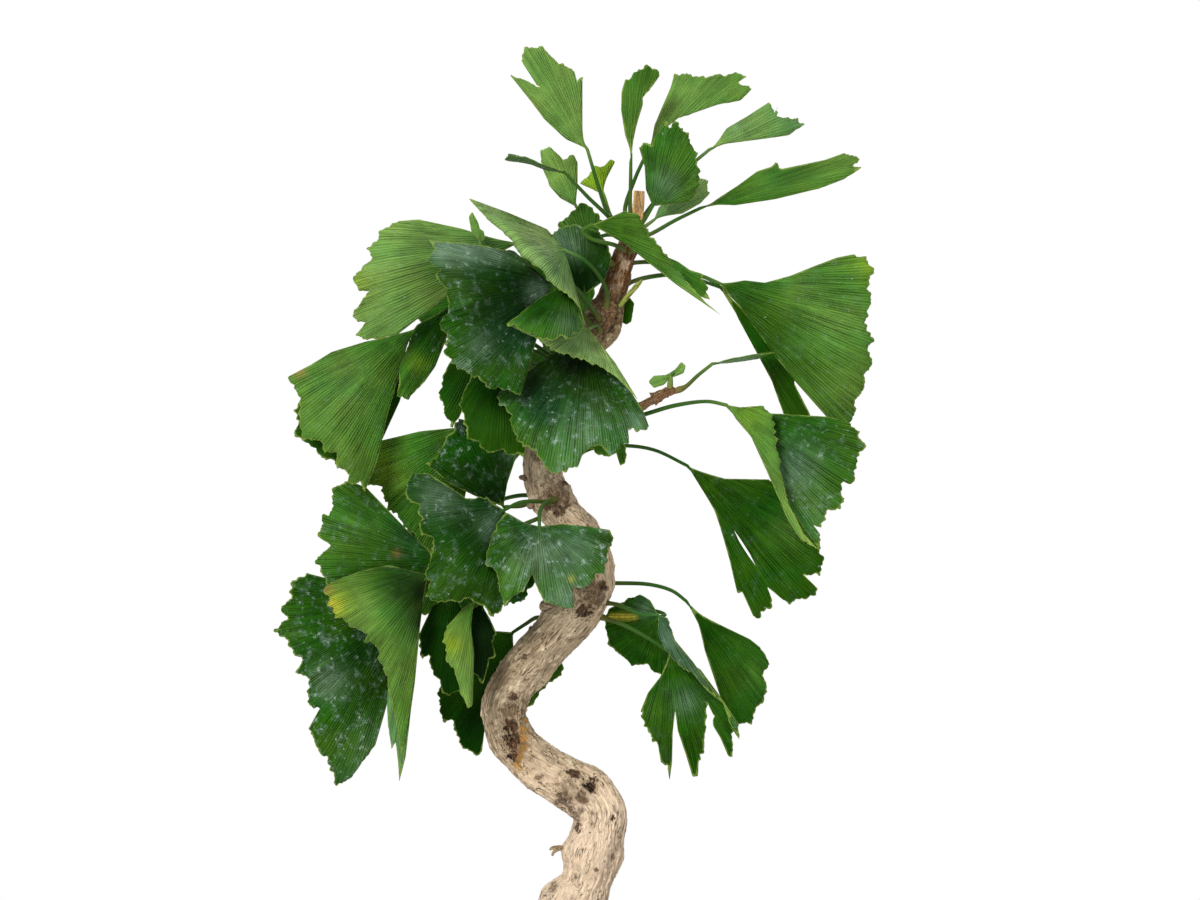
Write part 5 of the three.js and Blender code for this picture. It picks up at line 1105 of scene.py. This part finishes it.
          (44.5, 8, 209.8)],
         [(59, 199.8), (70, 194.5), (74.5, 191), (78, 184.5), (75.5, 180), (77, 174.5), (73.5, 167),
          (70.5, 160), (67.5, 161.5), (64, 159.8), (58, 172), (52, 190)],
         (0.05, 0), 2, 3, "dark dark sage", 0.05,
         [("deep", 50, 196, 9, 0.8), ("fresh", 72, 180, 9, 0.4)]),
    Leaf("leaf_low_right_lobed", [(8, -3, 204.5), (20, -9, 200.2), (30, -11, 194.8), (38, -12, 189.5)],
         [(34, 180), (29, 173.5), (26, 166), (27.5, 161), (30.5, 155), (33, 153.5), (34.3, 145.5),
          (36.8, 144.5), (37.7, 138.7), (38.7, 146), (39, 158), (39.9, 166.5), (41, 158.5), (44.5, 148),
          (46.5, 141.2), (49, 140.3), (49.3, 146.5), (51.5, 151), (52.3, 161), (52.5, 170), (55, 165),
          (55, 160.5), (58, 155.5), (61, 148.5), (63, 147.5), (62.5, 155.5), (63, 160), (59.5, 170),
          (50, 183)],
         (0, 0.05), 0, 0, "dark dark sage", 0.1,
         [("grey_sheen", 44, 170, 5, 0.4), ("mid", 34, 168, 6, 0.4), ("mid", 56, 160, 6, 0.4)]),
    Leaf("leaf_low_right_fold", [(9, -4, 209.5), (17, -10, 208.6), (26, -15, 205), (33, -18, 204.8)],
         [(33, 197), (35.5, 191.5), (40, 186), (44, 182.5), (46, 182.7), (52, 175), (59, 169.5), (62, 160),
          (65.7, 154.8), (65.3, 161), (59.8, 169.3), (54, 176.6), (46.8, 186.3), (39.8, 194.7), (37, 203.5)],
         (0.05, 0.05), 1, 0, "blue mid mid", 0.4,
         [("grey_sheen", 40, 196, 8, 0.5), ("grey_sheen", 50, 182, 8, 0.3)]),
    Leaf("leaf_low_right_dark", [(8, -1, 209), (15, 1.6, 208.8), (26, 4, 206.5), (33.5, 4.2, 205.5),
          (36, 1.5, 204.4), (34, -1.5, 203.6)],
         [(32.5, 206), (30, 210.3), (26, 212.6), (20, 210.3), (14.5, 207.3), (11.5, 203), (12.8, 197),
          (13, 192.5), (16, 190), (20.5, 186.5), (22.5, 184), (29, 184.8), (30.5, 182.5), (33.5, 180.7),
          (37, 181), (38, 192)],
         (0, -0.05), 1, 0, "dark dark sage", 0.1,
         [("gold", 14.5, 203.5, 1.2, 0.9), ("gold", 16.8, 203.6, 1.2, 0.9), ("gold", 19.1, 203.7, 1.2, 0.9),
          ("gold", 21.4, 203.7, 1.2, 0.9), ("gold", 23.7, 203.6, 1.2, 0.8), ("grey_sheen", 28, 207, 4, 0.4),
          ("deep", 22, 190, 7, 0.5)]),
    # behind
    Leaf("leaf_back_upper_left", [(-5, 6, 292), (-12, 26, 312), (-20, 38, 330), (-28, 44, 336)],
         [(-52, 348), (-64, 342), (-62, 334), (-70, 328), (-60, 320), (-48, 322), (-42, 314), (-34, 312),
          (-22, 316)],
         (-0.2, -0.3), -4, -4, "dark mid mid", 0.1),
    Leaf("leaf_back_upper_right", [(5, 4, 308), (10, 22, 314), (4, 34, 318), (-4, 40.5, 316)],
         [(-28, 306), (-30, 292), (-22, 284), (-18, 276), (-8, 278), (2, 274), (12, 284), (14, 296),
          (6, 306)],
         (0, -0.4), -4, -4, "dark mid mid", 0.1),
    Leaf("leaf_back_top", [(21, 3, 352), (18, 18, 356), (12, 28, 357), (4, 34, 354)],
         [(-16, 356), (-24, 346), (-20, 338), (-26, 330), (-16, 322), (-6, 324), (4, 322), (8, 334)],
         (0, -0.5), -4, -4, "dark mid mid", 0.1),
    Leaf("leaf_back_middle_left", [(-8, 3, 250), (-22, 22, 252), (-34, 34, 248), (-42, 38, 240)],
         [(-62, 242), (-72, 232), (-70, 222), (-76, 214), (-66, 202), (-56, 204), (-48, 198), (-38, 206),
          (-34, 222)],
         (-0.1, -0.35), -4, -4, "dark mid mid", 0.1),
    Leaf("leaf_back_right", [(19, 1, 345), (33, 14, 345.5), (46, 26, 340.5), (59, 34, 336)],
         [(86, 336), (98, 330), (100, 320), (106, 312), (98, 302), (92, 304), (84, 300), (78, 310)],
         (0.36, -0.3), -4, -4, "dark mid mid", 0.1),
]


def fan_frame(base, margin):
    """The blade's mean plane: the way its fan opens, and the way across it."""
    middle = margin.mean(0)
    opening = middle - base
    normal = np.zeros(3)
    for here, there in zip(margin[:-1], margin[1:]):
        normal += np.cross(here - base, there - base)
    normal /= np.linalg.norm(normal) + 1e-9
    opening -= normal * opening.dot(normal)
    opening /= np.linalg.norm(opening)
    return opening, np.cross(normal, opening)


def margin_of(leaf):
    """The blade's base and its margin in space, as the solids have them."""
    base = np.array(leaf.stalk[-1], float)
    margin = []
    for number, (x, z, *offset) in enumerate(leaf.rim):
        y = base[1] + leaf.slope[0] * (x - base[0]) + leaf.slope[1] * (z - base[2])
        arch = leaf.arch * math.sin(math.pi * number / (len(leaf.rim) - 1))
        margin.append((x, y + (offset[0] if offset else 0) - arch, z))
    return base, np.array(margin)


def toothed_outline(base, margin, flat_axes, seed):
    """The outline at even steps, softened at its corners and cut into small uneven teeth."""
    middle = margin.mean(0) - base
    loop = []
    for start, end in ((base, margin[0]), (base, margin[-1])):
        edge = end - start
        inward = middle - edge * middle.dot(edge) / edge.dot(edge)
        facing = max(middle.dot(edge) / np.linalg.norm(middle) / np.linalg.norm(edge), 0)
        spread = np.linalg.norm(inward) / np.linalg.norm(middle)
        part = np.linspace(0, 1, EDGE_POINTS)[:, None]
        narrow = np.clip((0.62 - spread) / 0.25, 0, 1) * facing
        hollow = np.minimum(SIDE_HOLLOW * narrow * np.sin(math.pi * part ** 0.7), 0.5 * part * spread)
        loop.append(start + edge * part + inward * hollow * np.linalg.norm(edge) / np.linalg.norm(inward))
    loop = np.concatenate([loop[0], margin[1:-1], loop[1][::-1]])
    lengths = np.concatenate([[0], np.cumsum(np.linalg.norm(np.diff(loop[:, flat_axes], axis=0), axis=1))])
    marks = np.arange(0, lengths[-1] - MARGIN_STEP / 2, MARGIN_STEP)
    line = np.stack([np.interp(marks, lengths, loop[:, axis]) for axis in range(3)], axis=1)
    line = 0.25 * np.roll(line, 1, axis=0) + 0.5 * line + 0.25 * np.roll(line, -1, axis=0)
    way = np.roll(line, -1, axis=0) - np.roll(line, 1, axis=0)
    way = way[:, flat_axes] / np.linalg.norm(way[:, flat_axes], axis=1, keepdims=True)
    edge = np.minimum(marks - lengths[EDGE_POINTS - 1], lengths[-EDGE_POINTS] - marks)
    ray = (line - base)[:, flat_axes]
    ray /= np.linalg.norm(ray, axis=1, keepdims=True) + 1e-6
    across_veins = np.abs(ray[:, 0] * way[:, 1] - ray[:, 1] * way[:, 0])
    strength = np.clip(edge / TOOTH_EASE, 0, 1) * np.clip((across_veins - 0.3) / 0.4, 0, 1)
    strength *= min(np.linalg.norm(middle) / TOOTHED_SIZE, 1)
    for i, mark in enumerate(marks):
        tooth = noise.noise(Vector((mark / TOOTH_LENGTH, seed, 0.5)))
        fine = noise.noise(Vector((mark / TOOTH_LENGTH * 2.3, seed, 7.5)))
        push = strength[i] * TOOTH_HEIGHT * (1.6 * tooth + 0.7 * fine)
        line[i, flat_axes[0]] += way[i, 1] * push
        line[i, flat_axes[1]] -= way[i, 0] * push
    return line


def away_from(points, outline):
    """How far each flat point lies from the outline."""
    nearest = np.full(len(points), np.inf)
    ends = np.roll(outline, -1, axis=0)
    for start, end in zip(outline, ends):
        along = end - start
        part = np.clip((points - start) @ along / max(along @ along, 1e-9), 0, 1)
        nearest = np.minimum(nearest, np.linalg.norm(points - start - part[:, None] * along, axis=1))
    return nearest


def inside(points, outline):
    """Which of the flat points lie within the outline."""
    within = np.zeros(len(points), bool)
    ends = np.roll(outline, -1, axis=0)
    for (ax, ay), (bx, by) in zip(outline, ends):
        if ay == by:
            continue
        crosses = (ay > points[:, 1]) != (by > points[:, 1])
        within ^= crosses & (points[:, 0] < ax + (bx - ax) * (points[:, 1] - ay) / (by - ay))
    return within


def flat_mesh(outline, draw, slit):
    """A fine triangle mesh of the outline, with points at even distances inside it, less its slit."""
    low, high = outline.min(0), outline.max(0)
    rows = np.arange(low[1], high[1], BLADE_GRID * 0.87)  # about the height of an even triangle
    columns = np.arange(low[0], high[0], BLADE_GRID)
    grid_x, grid_y = np.meshgrid(columns, rows)
    grid_x = grid_x + (np.arange(len(rows)) % 2)[:, None] * BLADE_GRID / 2
    points = np.stack([grid_x.ravel(), grid_y.ravel()], axis=1)
    points += draw.uniform(-0.12, 0.12, points.shape) * BLADE_GRID
    points = points[inside(points, outline)]
    points = points[away_from(points, outline) > BLADE_GRID * 0.55]
    edge = [(i, (i + 1) % len(outline)) for i in range(len(outline))]
    slit = np.array(slit, float).reshape(-1, 2)
    if len(slit):
        points = points[away_from(points, slit) > BLADE_GRID * 0.4]
        edge += [(len(outline) + i, len(outline) + (i + 1) % len(slit)) for i in range(len(slit))]
    flat = [Vector(point) for point in np.concatenate([outline, slit, points])]
    corners, _, triangles, *_ = delaunay_2d_cdt(flat, edge, [], 1, 1e-4)
    corners = np.array([tuple(corner) for corner in corners])
    triangles = np.array([tuple(t) for t in triangles])
    if len(slit):
        triangles = triangles[~inside(corners[triangles].mean(1), slit)]
    return corners, triangles


def blade_heights(points, outline, heights, bulge):
    """The blade's third coordinate: carried in from the margin, and swelled between."""
    steps = np.linalg.norm(np.roll(outline, -1, axis=0) - outline, axis=1)
    total, weight = np.zeros(len(points)), np.zeros(len(points))
    for corner, height, step in zip(outline, heights, steps):
        pull = step / (np.sum((points - corner) ** 2, axis=1) + 0.02) ** 1.5
        total += pull * height
        weight += pull
    reach = weight ** -0.5
    return total / weight, bulge * reach / reach.max()


def painted_leaf(leaf, points, share, back):
    """The green at each point of one side, from the leaf's greens and its patches, which paint shadow, sheen
    and shading as well as the leaf's own marks.
    """
    front, outer, under = (np.array(LEAF_GREENS[green]) for green in leaf.greens.split())
    colour = front + (outer - front) * (np.clip(share, 0, 1) ** 2)[:, None]
    for tone, x, z, reach, strength in leaf.patches:
        distance = np.hypot(points[:, 0] - x, points[:, 2] - z)
        part = strength * np.exp(-((distance / reach) ** 2))[:, None]
        colour += (np.array(LEAF_GREENS[tone]) - colour) * part
    return colour + (under - colour) * BACK_GREEN if back else colour


def thickened(points, triangles, half):
    """A solid sheet from a surface: its two sides, half its thickness away, and the edge between them."""
    normals = np.zeros_like(points)
    corners = points[triangles]
    face_normals = np.cross(corners[:, 1] - corners[:, 0], corners[:, 2] - corners[:, 0])
    for corner in range(3):
        np.add.at(normals, triangles[:, corner], face_normals)
    normals /= np.linalg.norm(normals, axis=1, keepdims=True) + 1e-12
    count = len(points)
    both = np.concatenate([points + normals * half[:, None], points - normals * half[:, None]])
    faces = [tuple(t) for t in triangles] + [tuple(int(i) + count for i in t[::-1]) for t in triangles]
    edges = dict.fromkeys((int(start), int(end)) for a, b, c in triangles
                          for start, end in ((a, b), (b, c), (c, a)))
    for start, end in edges:
        if (end, start) not in edges:
            faces.append((end, start, start + count, end + count))
    return both, faces


def stalk_shape(leaf, points, base, opening, size, height_axis):
    """Points and faces of the round stalk, which runs on a little way inside the blade."""
    places, marks = evenly_placed(leaf.stalk, STALK_STEP)
    radii = STALK_RADIUS[0] + (STALK_RADIUS[1] - STALK_RADIUS[0]) * places
    radii = radii * (1 + 0.55 * np.exp(-((marks - 3) / 2.2) ** 2))
    vein_length = min(4.0, 0.15 * size)
    vein = base + opening[None] * np.linspace(0.25, 1, VEIN_POINTS)[:, None] * vein_length
    nearest = [int(np.argmin(np.linalg.norm(points - spot, axis=1))) for spot in vein]
    for spot, index in zip(vein, nearest):
        spot[height_axis] = points[index, height_axis]
    line = np.concatenate([curve_through(leaf.stalk, places), vein])
    radii = np.concatenate([radii, STALK_RADIUS[1] * np.linspace(0.85, 0.3, VEIN_POINTS)])
    return closed_tube(list(tube_rings(line, radii, STALK_SIDES)))


def stalk_tones(leaf, points, base, green):
    """The stalk's green, browner near the wood and half the blade's own near the blade."""
    foot = np.exp(-np.linalg.norm(points - np.array(leaf.stalk[0]), axis=1) / 5)[:, None]
    tones = np.array(STALK_GREEN) * (1 - foot) + np.array(STALK_FOOT) * foot
    near = np.clip(1 - np.linalg.norm(points - base, axis=1) / 9, 0, 1)[:, None]
    return tones * (1 - near) + 0.5 * (tones + green) * near


def leaf_piece(leaf, number):
    """One leaf: a waved and pleated blade with both its sides, its stalk, and the colours of both."""
    draw = np.random.default_rng(100 + number)
    base, margin = margin_of(leaf)
    flat_axes, height_axis = ([0, 1], 2) if leaf.name.endswith("edge_on") else ([0, 2], 1)
    line = toothed_outline(base, margin, flat_axes, number * 3.7)
    outline = line[:, flat_axes]
    flat_points, triangles = flat_mesh(outline, draw, leaf.slit)
    heights, swell = blade_heights(flat_points, outline, line[:, height_axis], leaf.bulge)
    opening, across = fan_frame(base, margin)
    size = np.linalg.norm(margin - base, axis=1).max()
    points = np.zeros((len(flat_points), 3))
    points[:, flat_axes] = flat_points
    points[:, height_axis] = heights - swell
    spread = points - (base - opening * FAN_CENTRE * size)
    distance = np.hypot(spread @ opening, spread @ across)
    angle = np.arctan2(spread @ across, spread @ opening)
    share = distance / distance.max()
    phases = draw.uniform(0, FULL_TURN, 4)
    wave = 0.7 * np.cos(6 * angle + phases[0]) + 0.45 * np.cos(15 * angle + phases[1] + 3 * share)
    swing = WAVE_HEIGHT * min(size / WAVED_SIZE, 1) * share ** 2 * wave
    pleat = PLEAT_HEIGHT * np.cos(size * 2.1 * angle + phases[2]) * np.clip(share * 3, 0, 1)
    points[:, height_axis] += swing + pleat

    from_edge = away_from(flat_points, outline)
    half = BLADE_THICKNESS / 2 * (0.4 + 0.6 * np.clip(from_edge / 1.2, 0, 1))
    both, faces = thickened(points, triangles, half)
    stalk_points, stalk_faces = stalk_shape(leaf, points, base, opening, size, height_axis)
    faces += [tuple(index + len(both) for index in face) for face in stalk_faces]
    front = painted_leaf(leaf, points, share, False)
    back = painted_leaf(leaf, points, share, True)
    # The white marks fade where painted shadow darkens the front.
    bloom = leaf.bloom * np.clip(front[:, 1] / LEAF_GREENS["dark"][1], 0.12, 1)
    fan = np.stack([angle, distance * MM, from_edge], axis=1)
    smooth = np.tile(STALK_FAN, (len(stalk_points), 1))
    stalk_tone = stalk_tones(leaf, stalk_points, base, front.mean(0))

    mesh = mesh_of(leaf.name, np.concatenate([both, stalk_points]), faces)
    store(mesh, "fan", "FLOAT_VECTOR", np.concatenate([fan, fan, smooth]))
    store(mesh, "green", "FLOAT_COLOR", np.concatenate([front, back, stalk_tone]))
    store(mesh, "bloom", "FLOAT", np.concatenate([bloom, bloom * BACK_BLOOM, np.zeros(len(stalk_points))]))
    return add_object(leaf.name.replace("leaf_", "blade_"), mesh)


leaf_material, tree, shader = new_material("ginkgo_leaf", Roughness=0.5, Specular_IOR_Level=0.09,
                                           Specular_Tint=(0.5, 0.9, 0.4, 1))
green = attribute(tree, "green", "Color")
bloom = attribute(tree, "bloom", "Fac")
place = object_place(tree)
angle, distance, from_edge = wire(tree, "ShaderNodeSeparateXYZ", {0: attribute(tree, "fan")}).outputs
forks_away = maths(tree, "MAXIMUM", maths(tree, "DIVIDE", distance, FIRST_FORK), 1)
octave = maths(tree, "LOGARITHM", forks_away, 2)
forks = maths(tree, "POWER", 2, maths(tree, "FLOOR", octave))
between = eased(tree, maths(tree, "FRACT", octave), 0.3, 0.7)


def vein_turns(factor):
    """How many veins lie between the fan's middle line and here."""
    return times(tree, times(tree, angle, forks), VEINS * factor)


def streaks(factor):
    """Uneven streaks along the veins."""
    run = wire(tree, "ShaderNodeCombineXYZ", {0: vein_turns(factor), 1: times(tree, distance, 30)})
    return wire(tree, "ShaderNodeTexNoise", {"Vector": run.outputs[0], "Scale": 1.0, "Detail": 3.0,
                "Roughness": 0.7}, noise_dimensions="2D").outputs["Fac"]


def vein_wave(factor, wander):
    """Even ridges along the veins."""
    turns = plus(tree, vein_turns(factor), times(tree, wander, 0.9))
    return maths(tree, "SINE", times(tree, turns, 2 * math.pi))


def forking(near, far):
    """Passes from the veins of one fork to those of the next."""
    return plus(tree, times(tree, near, maths(tree, "SUBTRACT", 1, between)), times(tree, far, between))


mottle = grain(tree, place, 120, 3, 0.6)
veins = forking(vein_wave(1, mottle), vein_wave(2, mottle))
fine = forking(streaks(1.6), streaks(3.2))
broad = forking(streaks(0.3), streaks(0.6))
ribbed = plus(tree, eased(tree, veins, -1, 1, -0.26, 0.2), eased(tree, fine, 0.3, 0.7, -0.22, 0.26))
age = eased(tree, bloom, 0, 0.1, 0.45, 1)
light = plus(tree, times(tree, ribbed, age), 1)
light = plus(tree, light, eased(tree, broad, 0.3, 0.7, -0.16, 0.16))
light = plus(tree, light, eased(tree, mottle, 0.3, 0.7, -0.1, 0.1))
hue = eased(tree, grain(tree, place, 55, 2, 0.5), 0.3, 0.7, 0.487, 0.513)
colour = wire(tree, "ShaderNodeHueSaturation", {"Hue": hue, "Value": light, "Color": green}).outputs[0]
# A yellow-green rim, a grey film that is partly hard water and partly painted sheen, and white specks and
# crusts.
rim_line = plus(tree, from_edge, eased(tree, mottle, 0.3, 0.7, -0.25, 0.4))
colour = blended(tree, eased(tree, rim_line, 0.1, 0.7, 0.6, 0), colour, srgb(142, 166, 74))
wash = grain(tree, place, 260, 4, 0.7)
film_and_sheen = times(tree, eased(tree, wash, 0.5, 0.7, 0, 0.5), bloom)
colour = blended(tree, film_and_sheen, colour, srgb(124, 150, 134))
many = times(tree, eased(tree, wash, 0.46, 0.64, 0.02, 0.2), bloom)
specks = scattered(tree, place, 460, many, 0.08, 0.26)
crusts = times(tree, eased(tree, wash, 0.45, 0.62, 0.1, 1), bloom)
crusts = times(tree, eased(tree, grain(tree, place, 430, 4, 0.65), 0.57, 0.64), crusts)
marks = maths(tree, "MAXIMUM", times(tree, specks, 0.9), crusts)
colour = blended(tree, times(tree, marks, 0.55), colour, srgb(178, 200, 186))
tree.links.new(colour, shader.inputs["Base Color"])
rough = plus(tree, eased(tree, mottle, 0.3, 0.7, 0.42, 0.58), times(tree, marks, 0.25))
tree.links.new(rough, shader.inputs["Roughness"])
vein_bump = bumped(tree, shader, veins, 0.00012)
bumped(tree, shader, times(tree, fine, age), 0.0004, under=vein_bump)

for number, leaf in enumerate(LEAVES):
    finish_piece(leaf_piece(leaf, number), leaf_material, "leaf", leaf.name)

# ---- studio ----
# A pale table top that fades into a white room, a broad soft light from the upper left in front, weaker
# ones from the right, above and behind, and a long lens level with the middle of the crown.

FLOOR_RADIUS = 1.4
FLOOR_SIDES = 96
ROOM_LIGHT = 0.2
AIM = Vector((0.01, 0, 0.2703))
LENS = 225
CAMERA_AWAY = 3
# Each lamp's name, place, width and power.
LAMPS = [("key", (-1.0, -2.1, 1.5), 0.8, 59), ("fill", (1.2, -2.0, 0.3), 1.4, 14),
         ("top", (0.2, 0.3, 2.2), 0.9, 17), ("back", (0.7, 2.1, 1.3), 1.4, 30)]

floor_ring = oval_ring(FLOOR_RADIUS, FLOOR_RADIUS, 0, FLOOR_SIDES)
floor_mesh = bpy.data.meshes.new("table_top")
floor_mesh.from_pydata([tuple(corner) for corner in floor_ring], [], [tuple(range(FLOOR_SIDES))])
floor = add_object("table_top", floor_mesh)
floor_material, tree, shader = new_material("pale_paper", Roughness=0.9, Base_Color=(0.92, 0.92, 0.92, 1),
                                            Emission_Color=(1, 1, 1, 1))
place = object_place(tree)
outwards = wire(tree, "ShaderNodeVectorMath", {0: place}, operation="LENGTH").outputs["Value"]
seen = wire(tree, "ShaderNodeLightPath").outputs["Is Camera Ray"]
glow = times(tree, eased(tree, outwards, 0.2 * FLOOR_RADIUS, 0.6 * FLOOR_RADIUS), seen)
tree.links.new(glow, shader.inputs["Emission Strength"])
floor.data.materials.append(floor_material)

world = bpy.data.worlds.new("white_room")
world.use_nodes = True
seen = wire(world.node_tree, "ShaderNodeLightPath").outputs["Is Camera Ray"]
room = world.node_tree.nodes["Background"].inputs
room["Color"].default_value = (1, 1, 1, 1)
world.node_tree.links.new(eased(world.node_tree, seen, 0, 1, ROOM_LIGHT, 1), room["Strength"])
bpy.context.scene.world = world

for name, spot, size, power in LAMPS:
    lamp = bpy.data.lights.new(name, "AREA")
    lamp.size = size
    lamp.energy = power
    holder = add_object(name, lamp)
    holder.location = spot
    holder.rotation_euler = (AIM - Vector(spot)).to_track_quat("-Z", "Y").to_euler()

camera = bpy.data.cameras.new("camera")
camera.sensor_width = 36
camera.lens = LENS
camera.clip_end = 50
viewer = add_object("camera", camera)
viewer.location = (AIM.x, -CAMERA_AWAY, AIM.z)
viewer.rotation_euler = (math.pi / 2, 0, 0)
bpy.context.scene.camera = viewer
bpy.context.scene.view_settings.view_transform = "Standard"
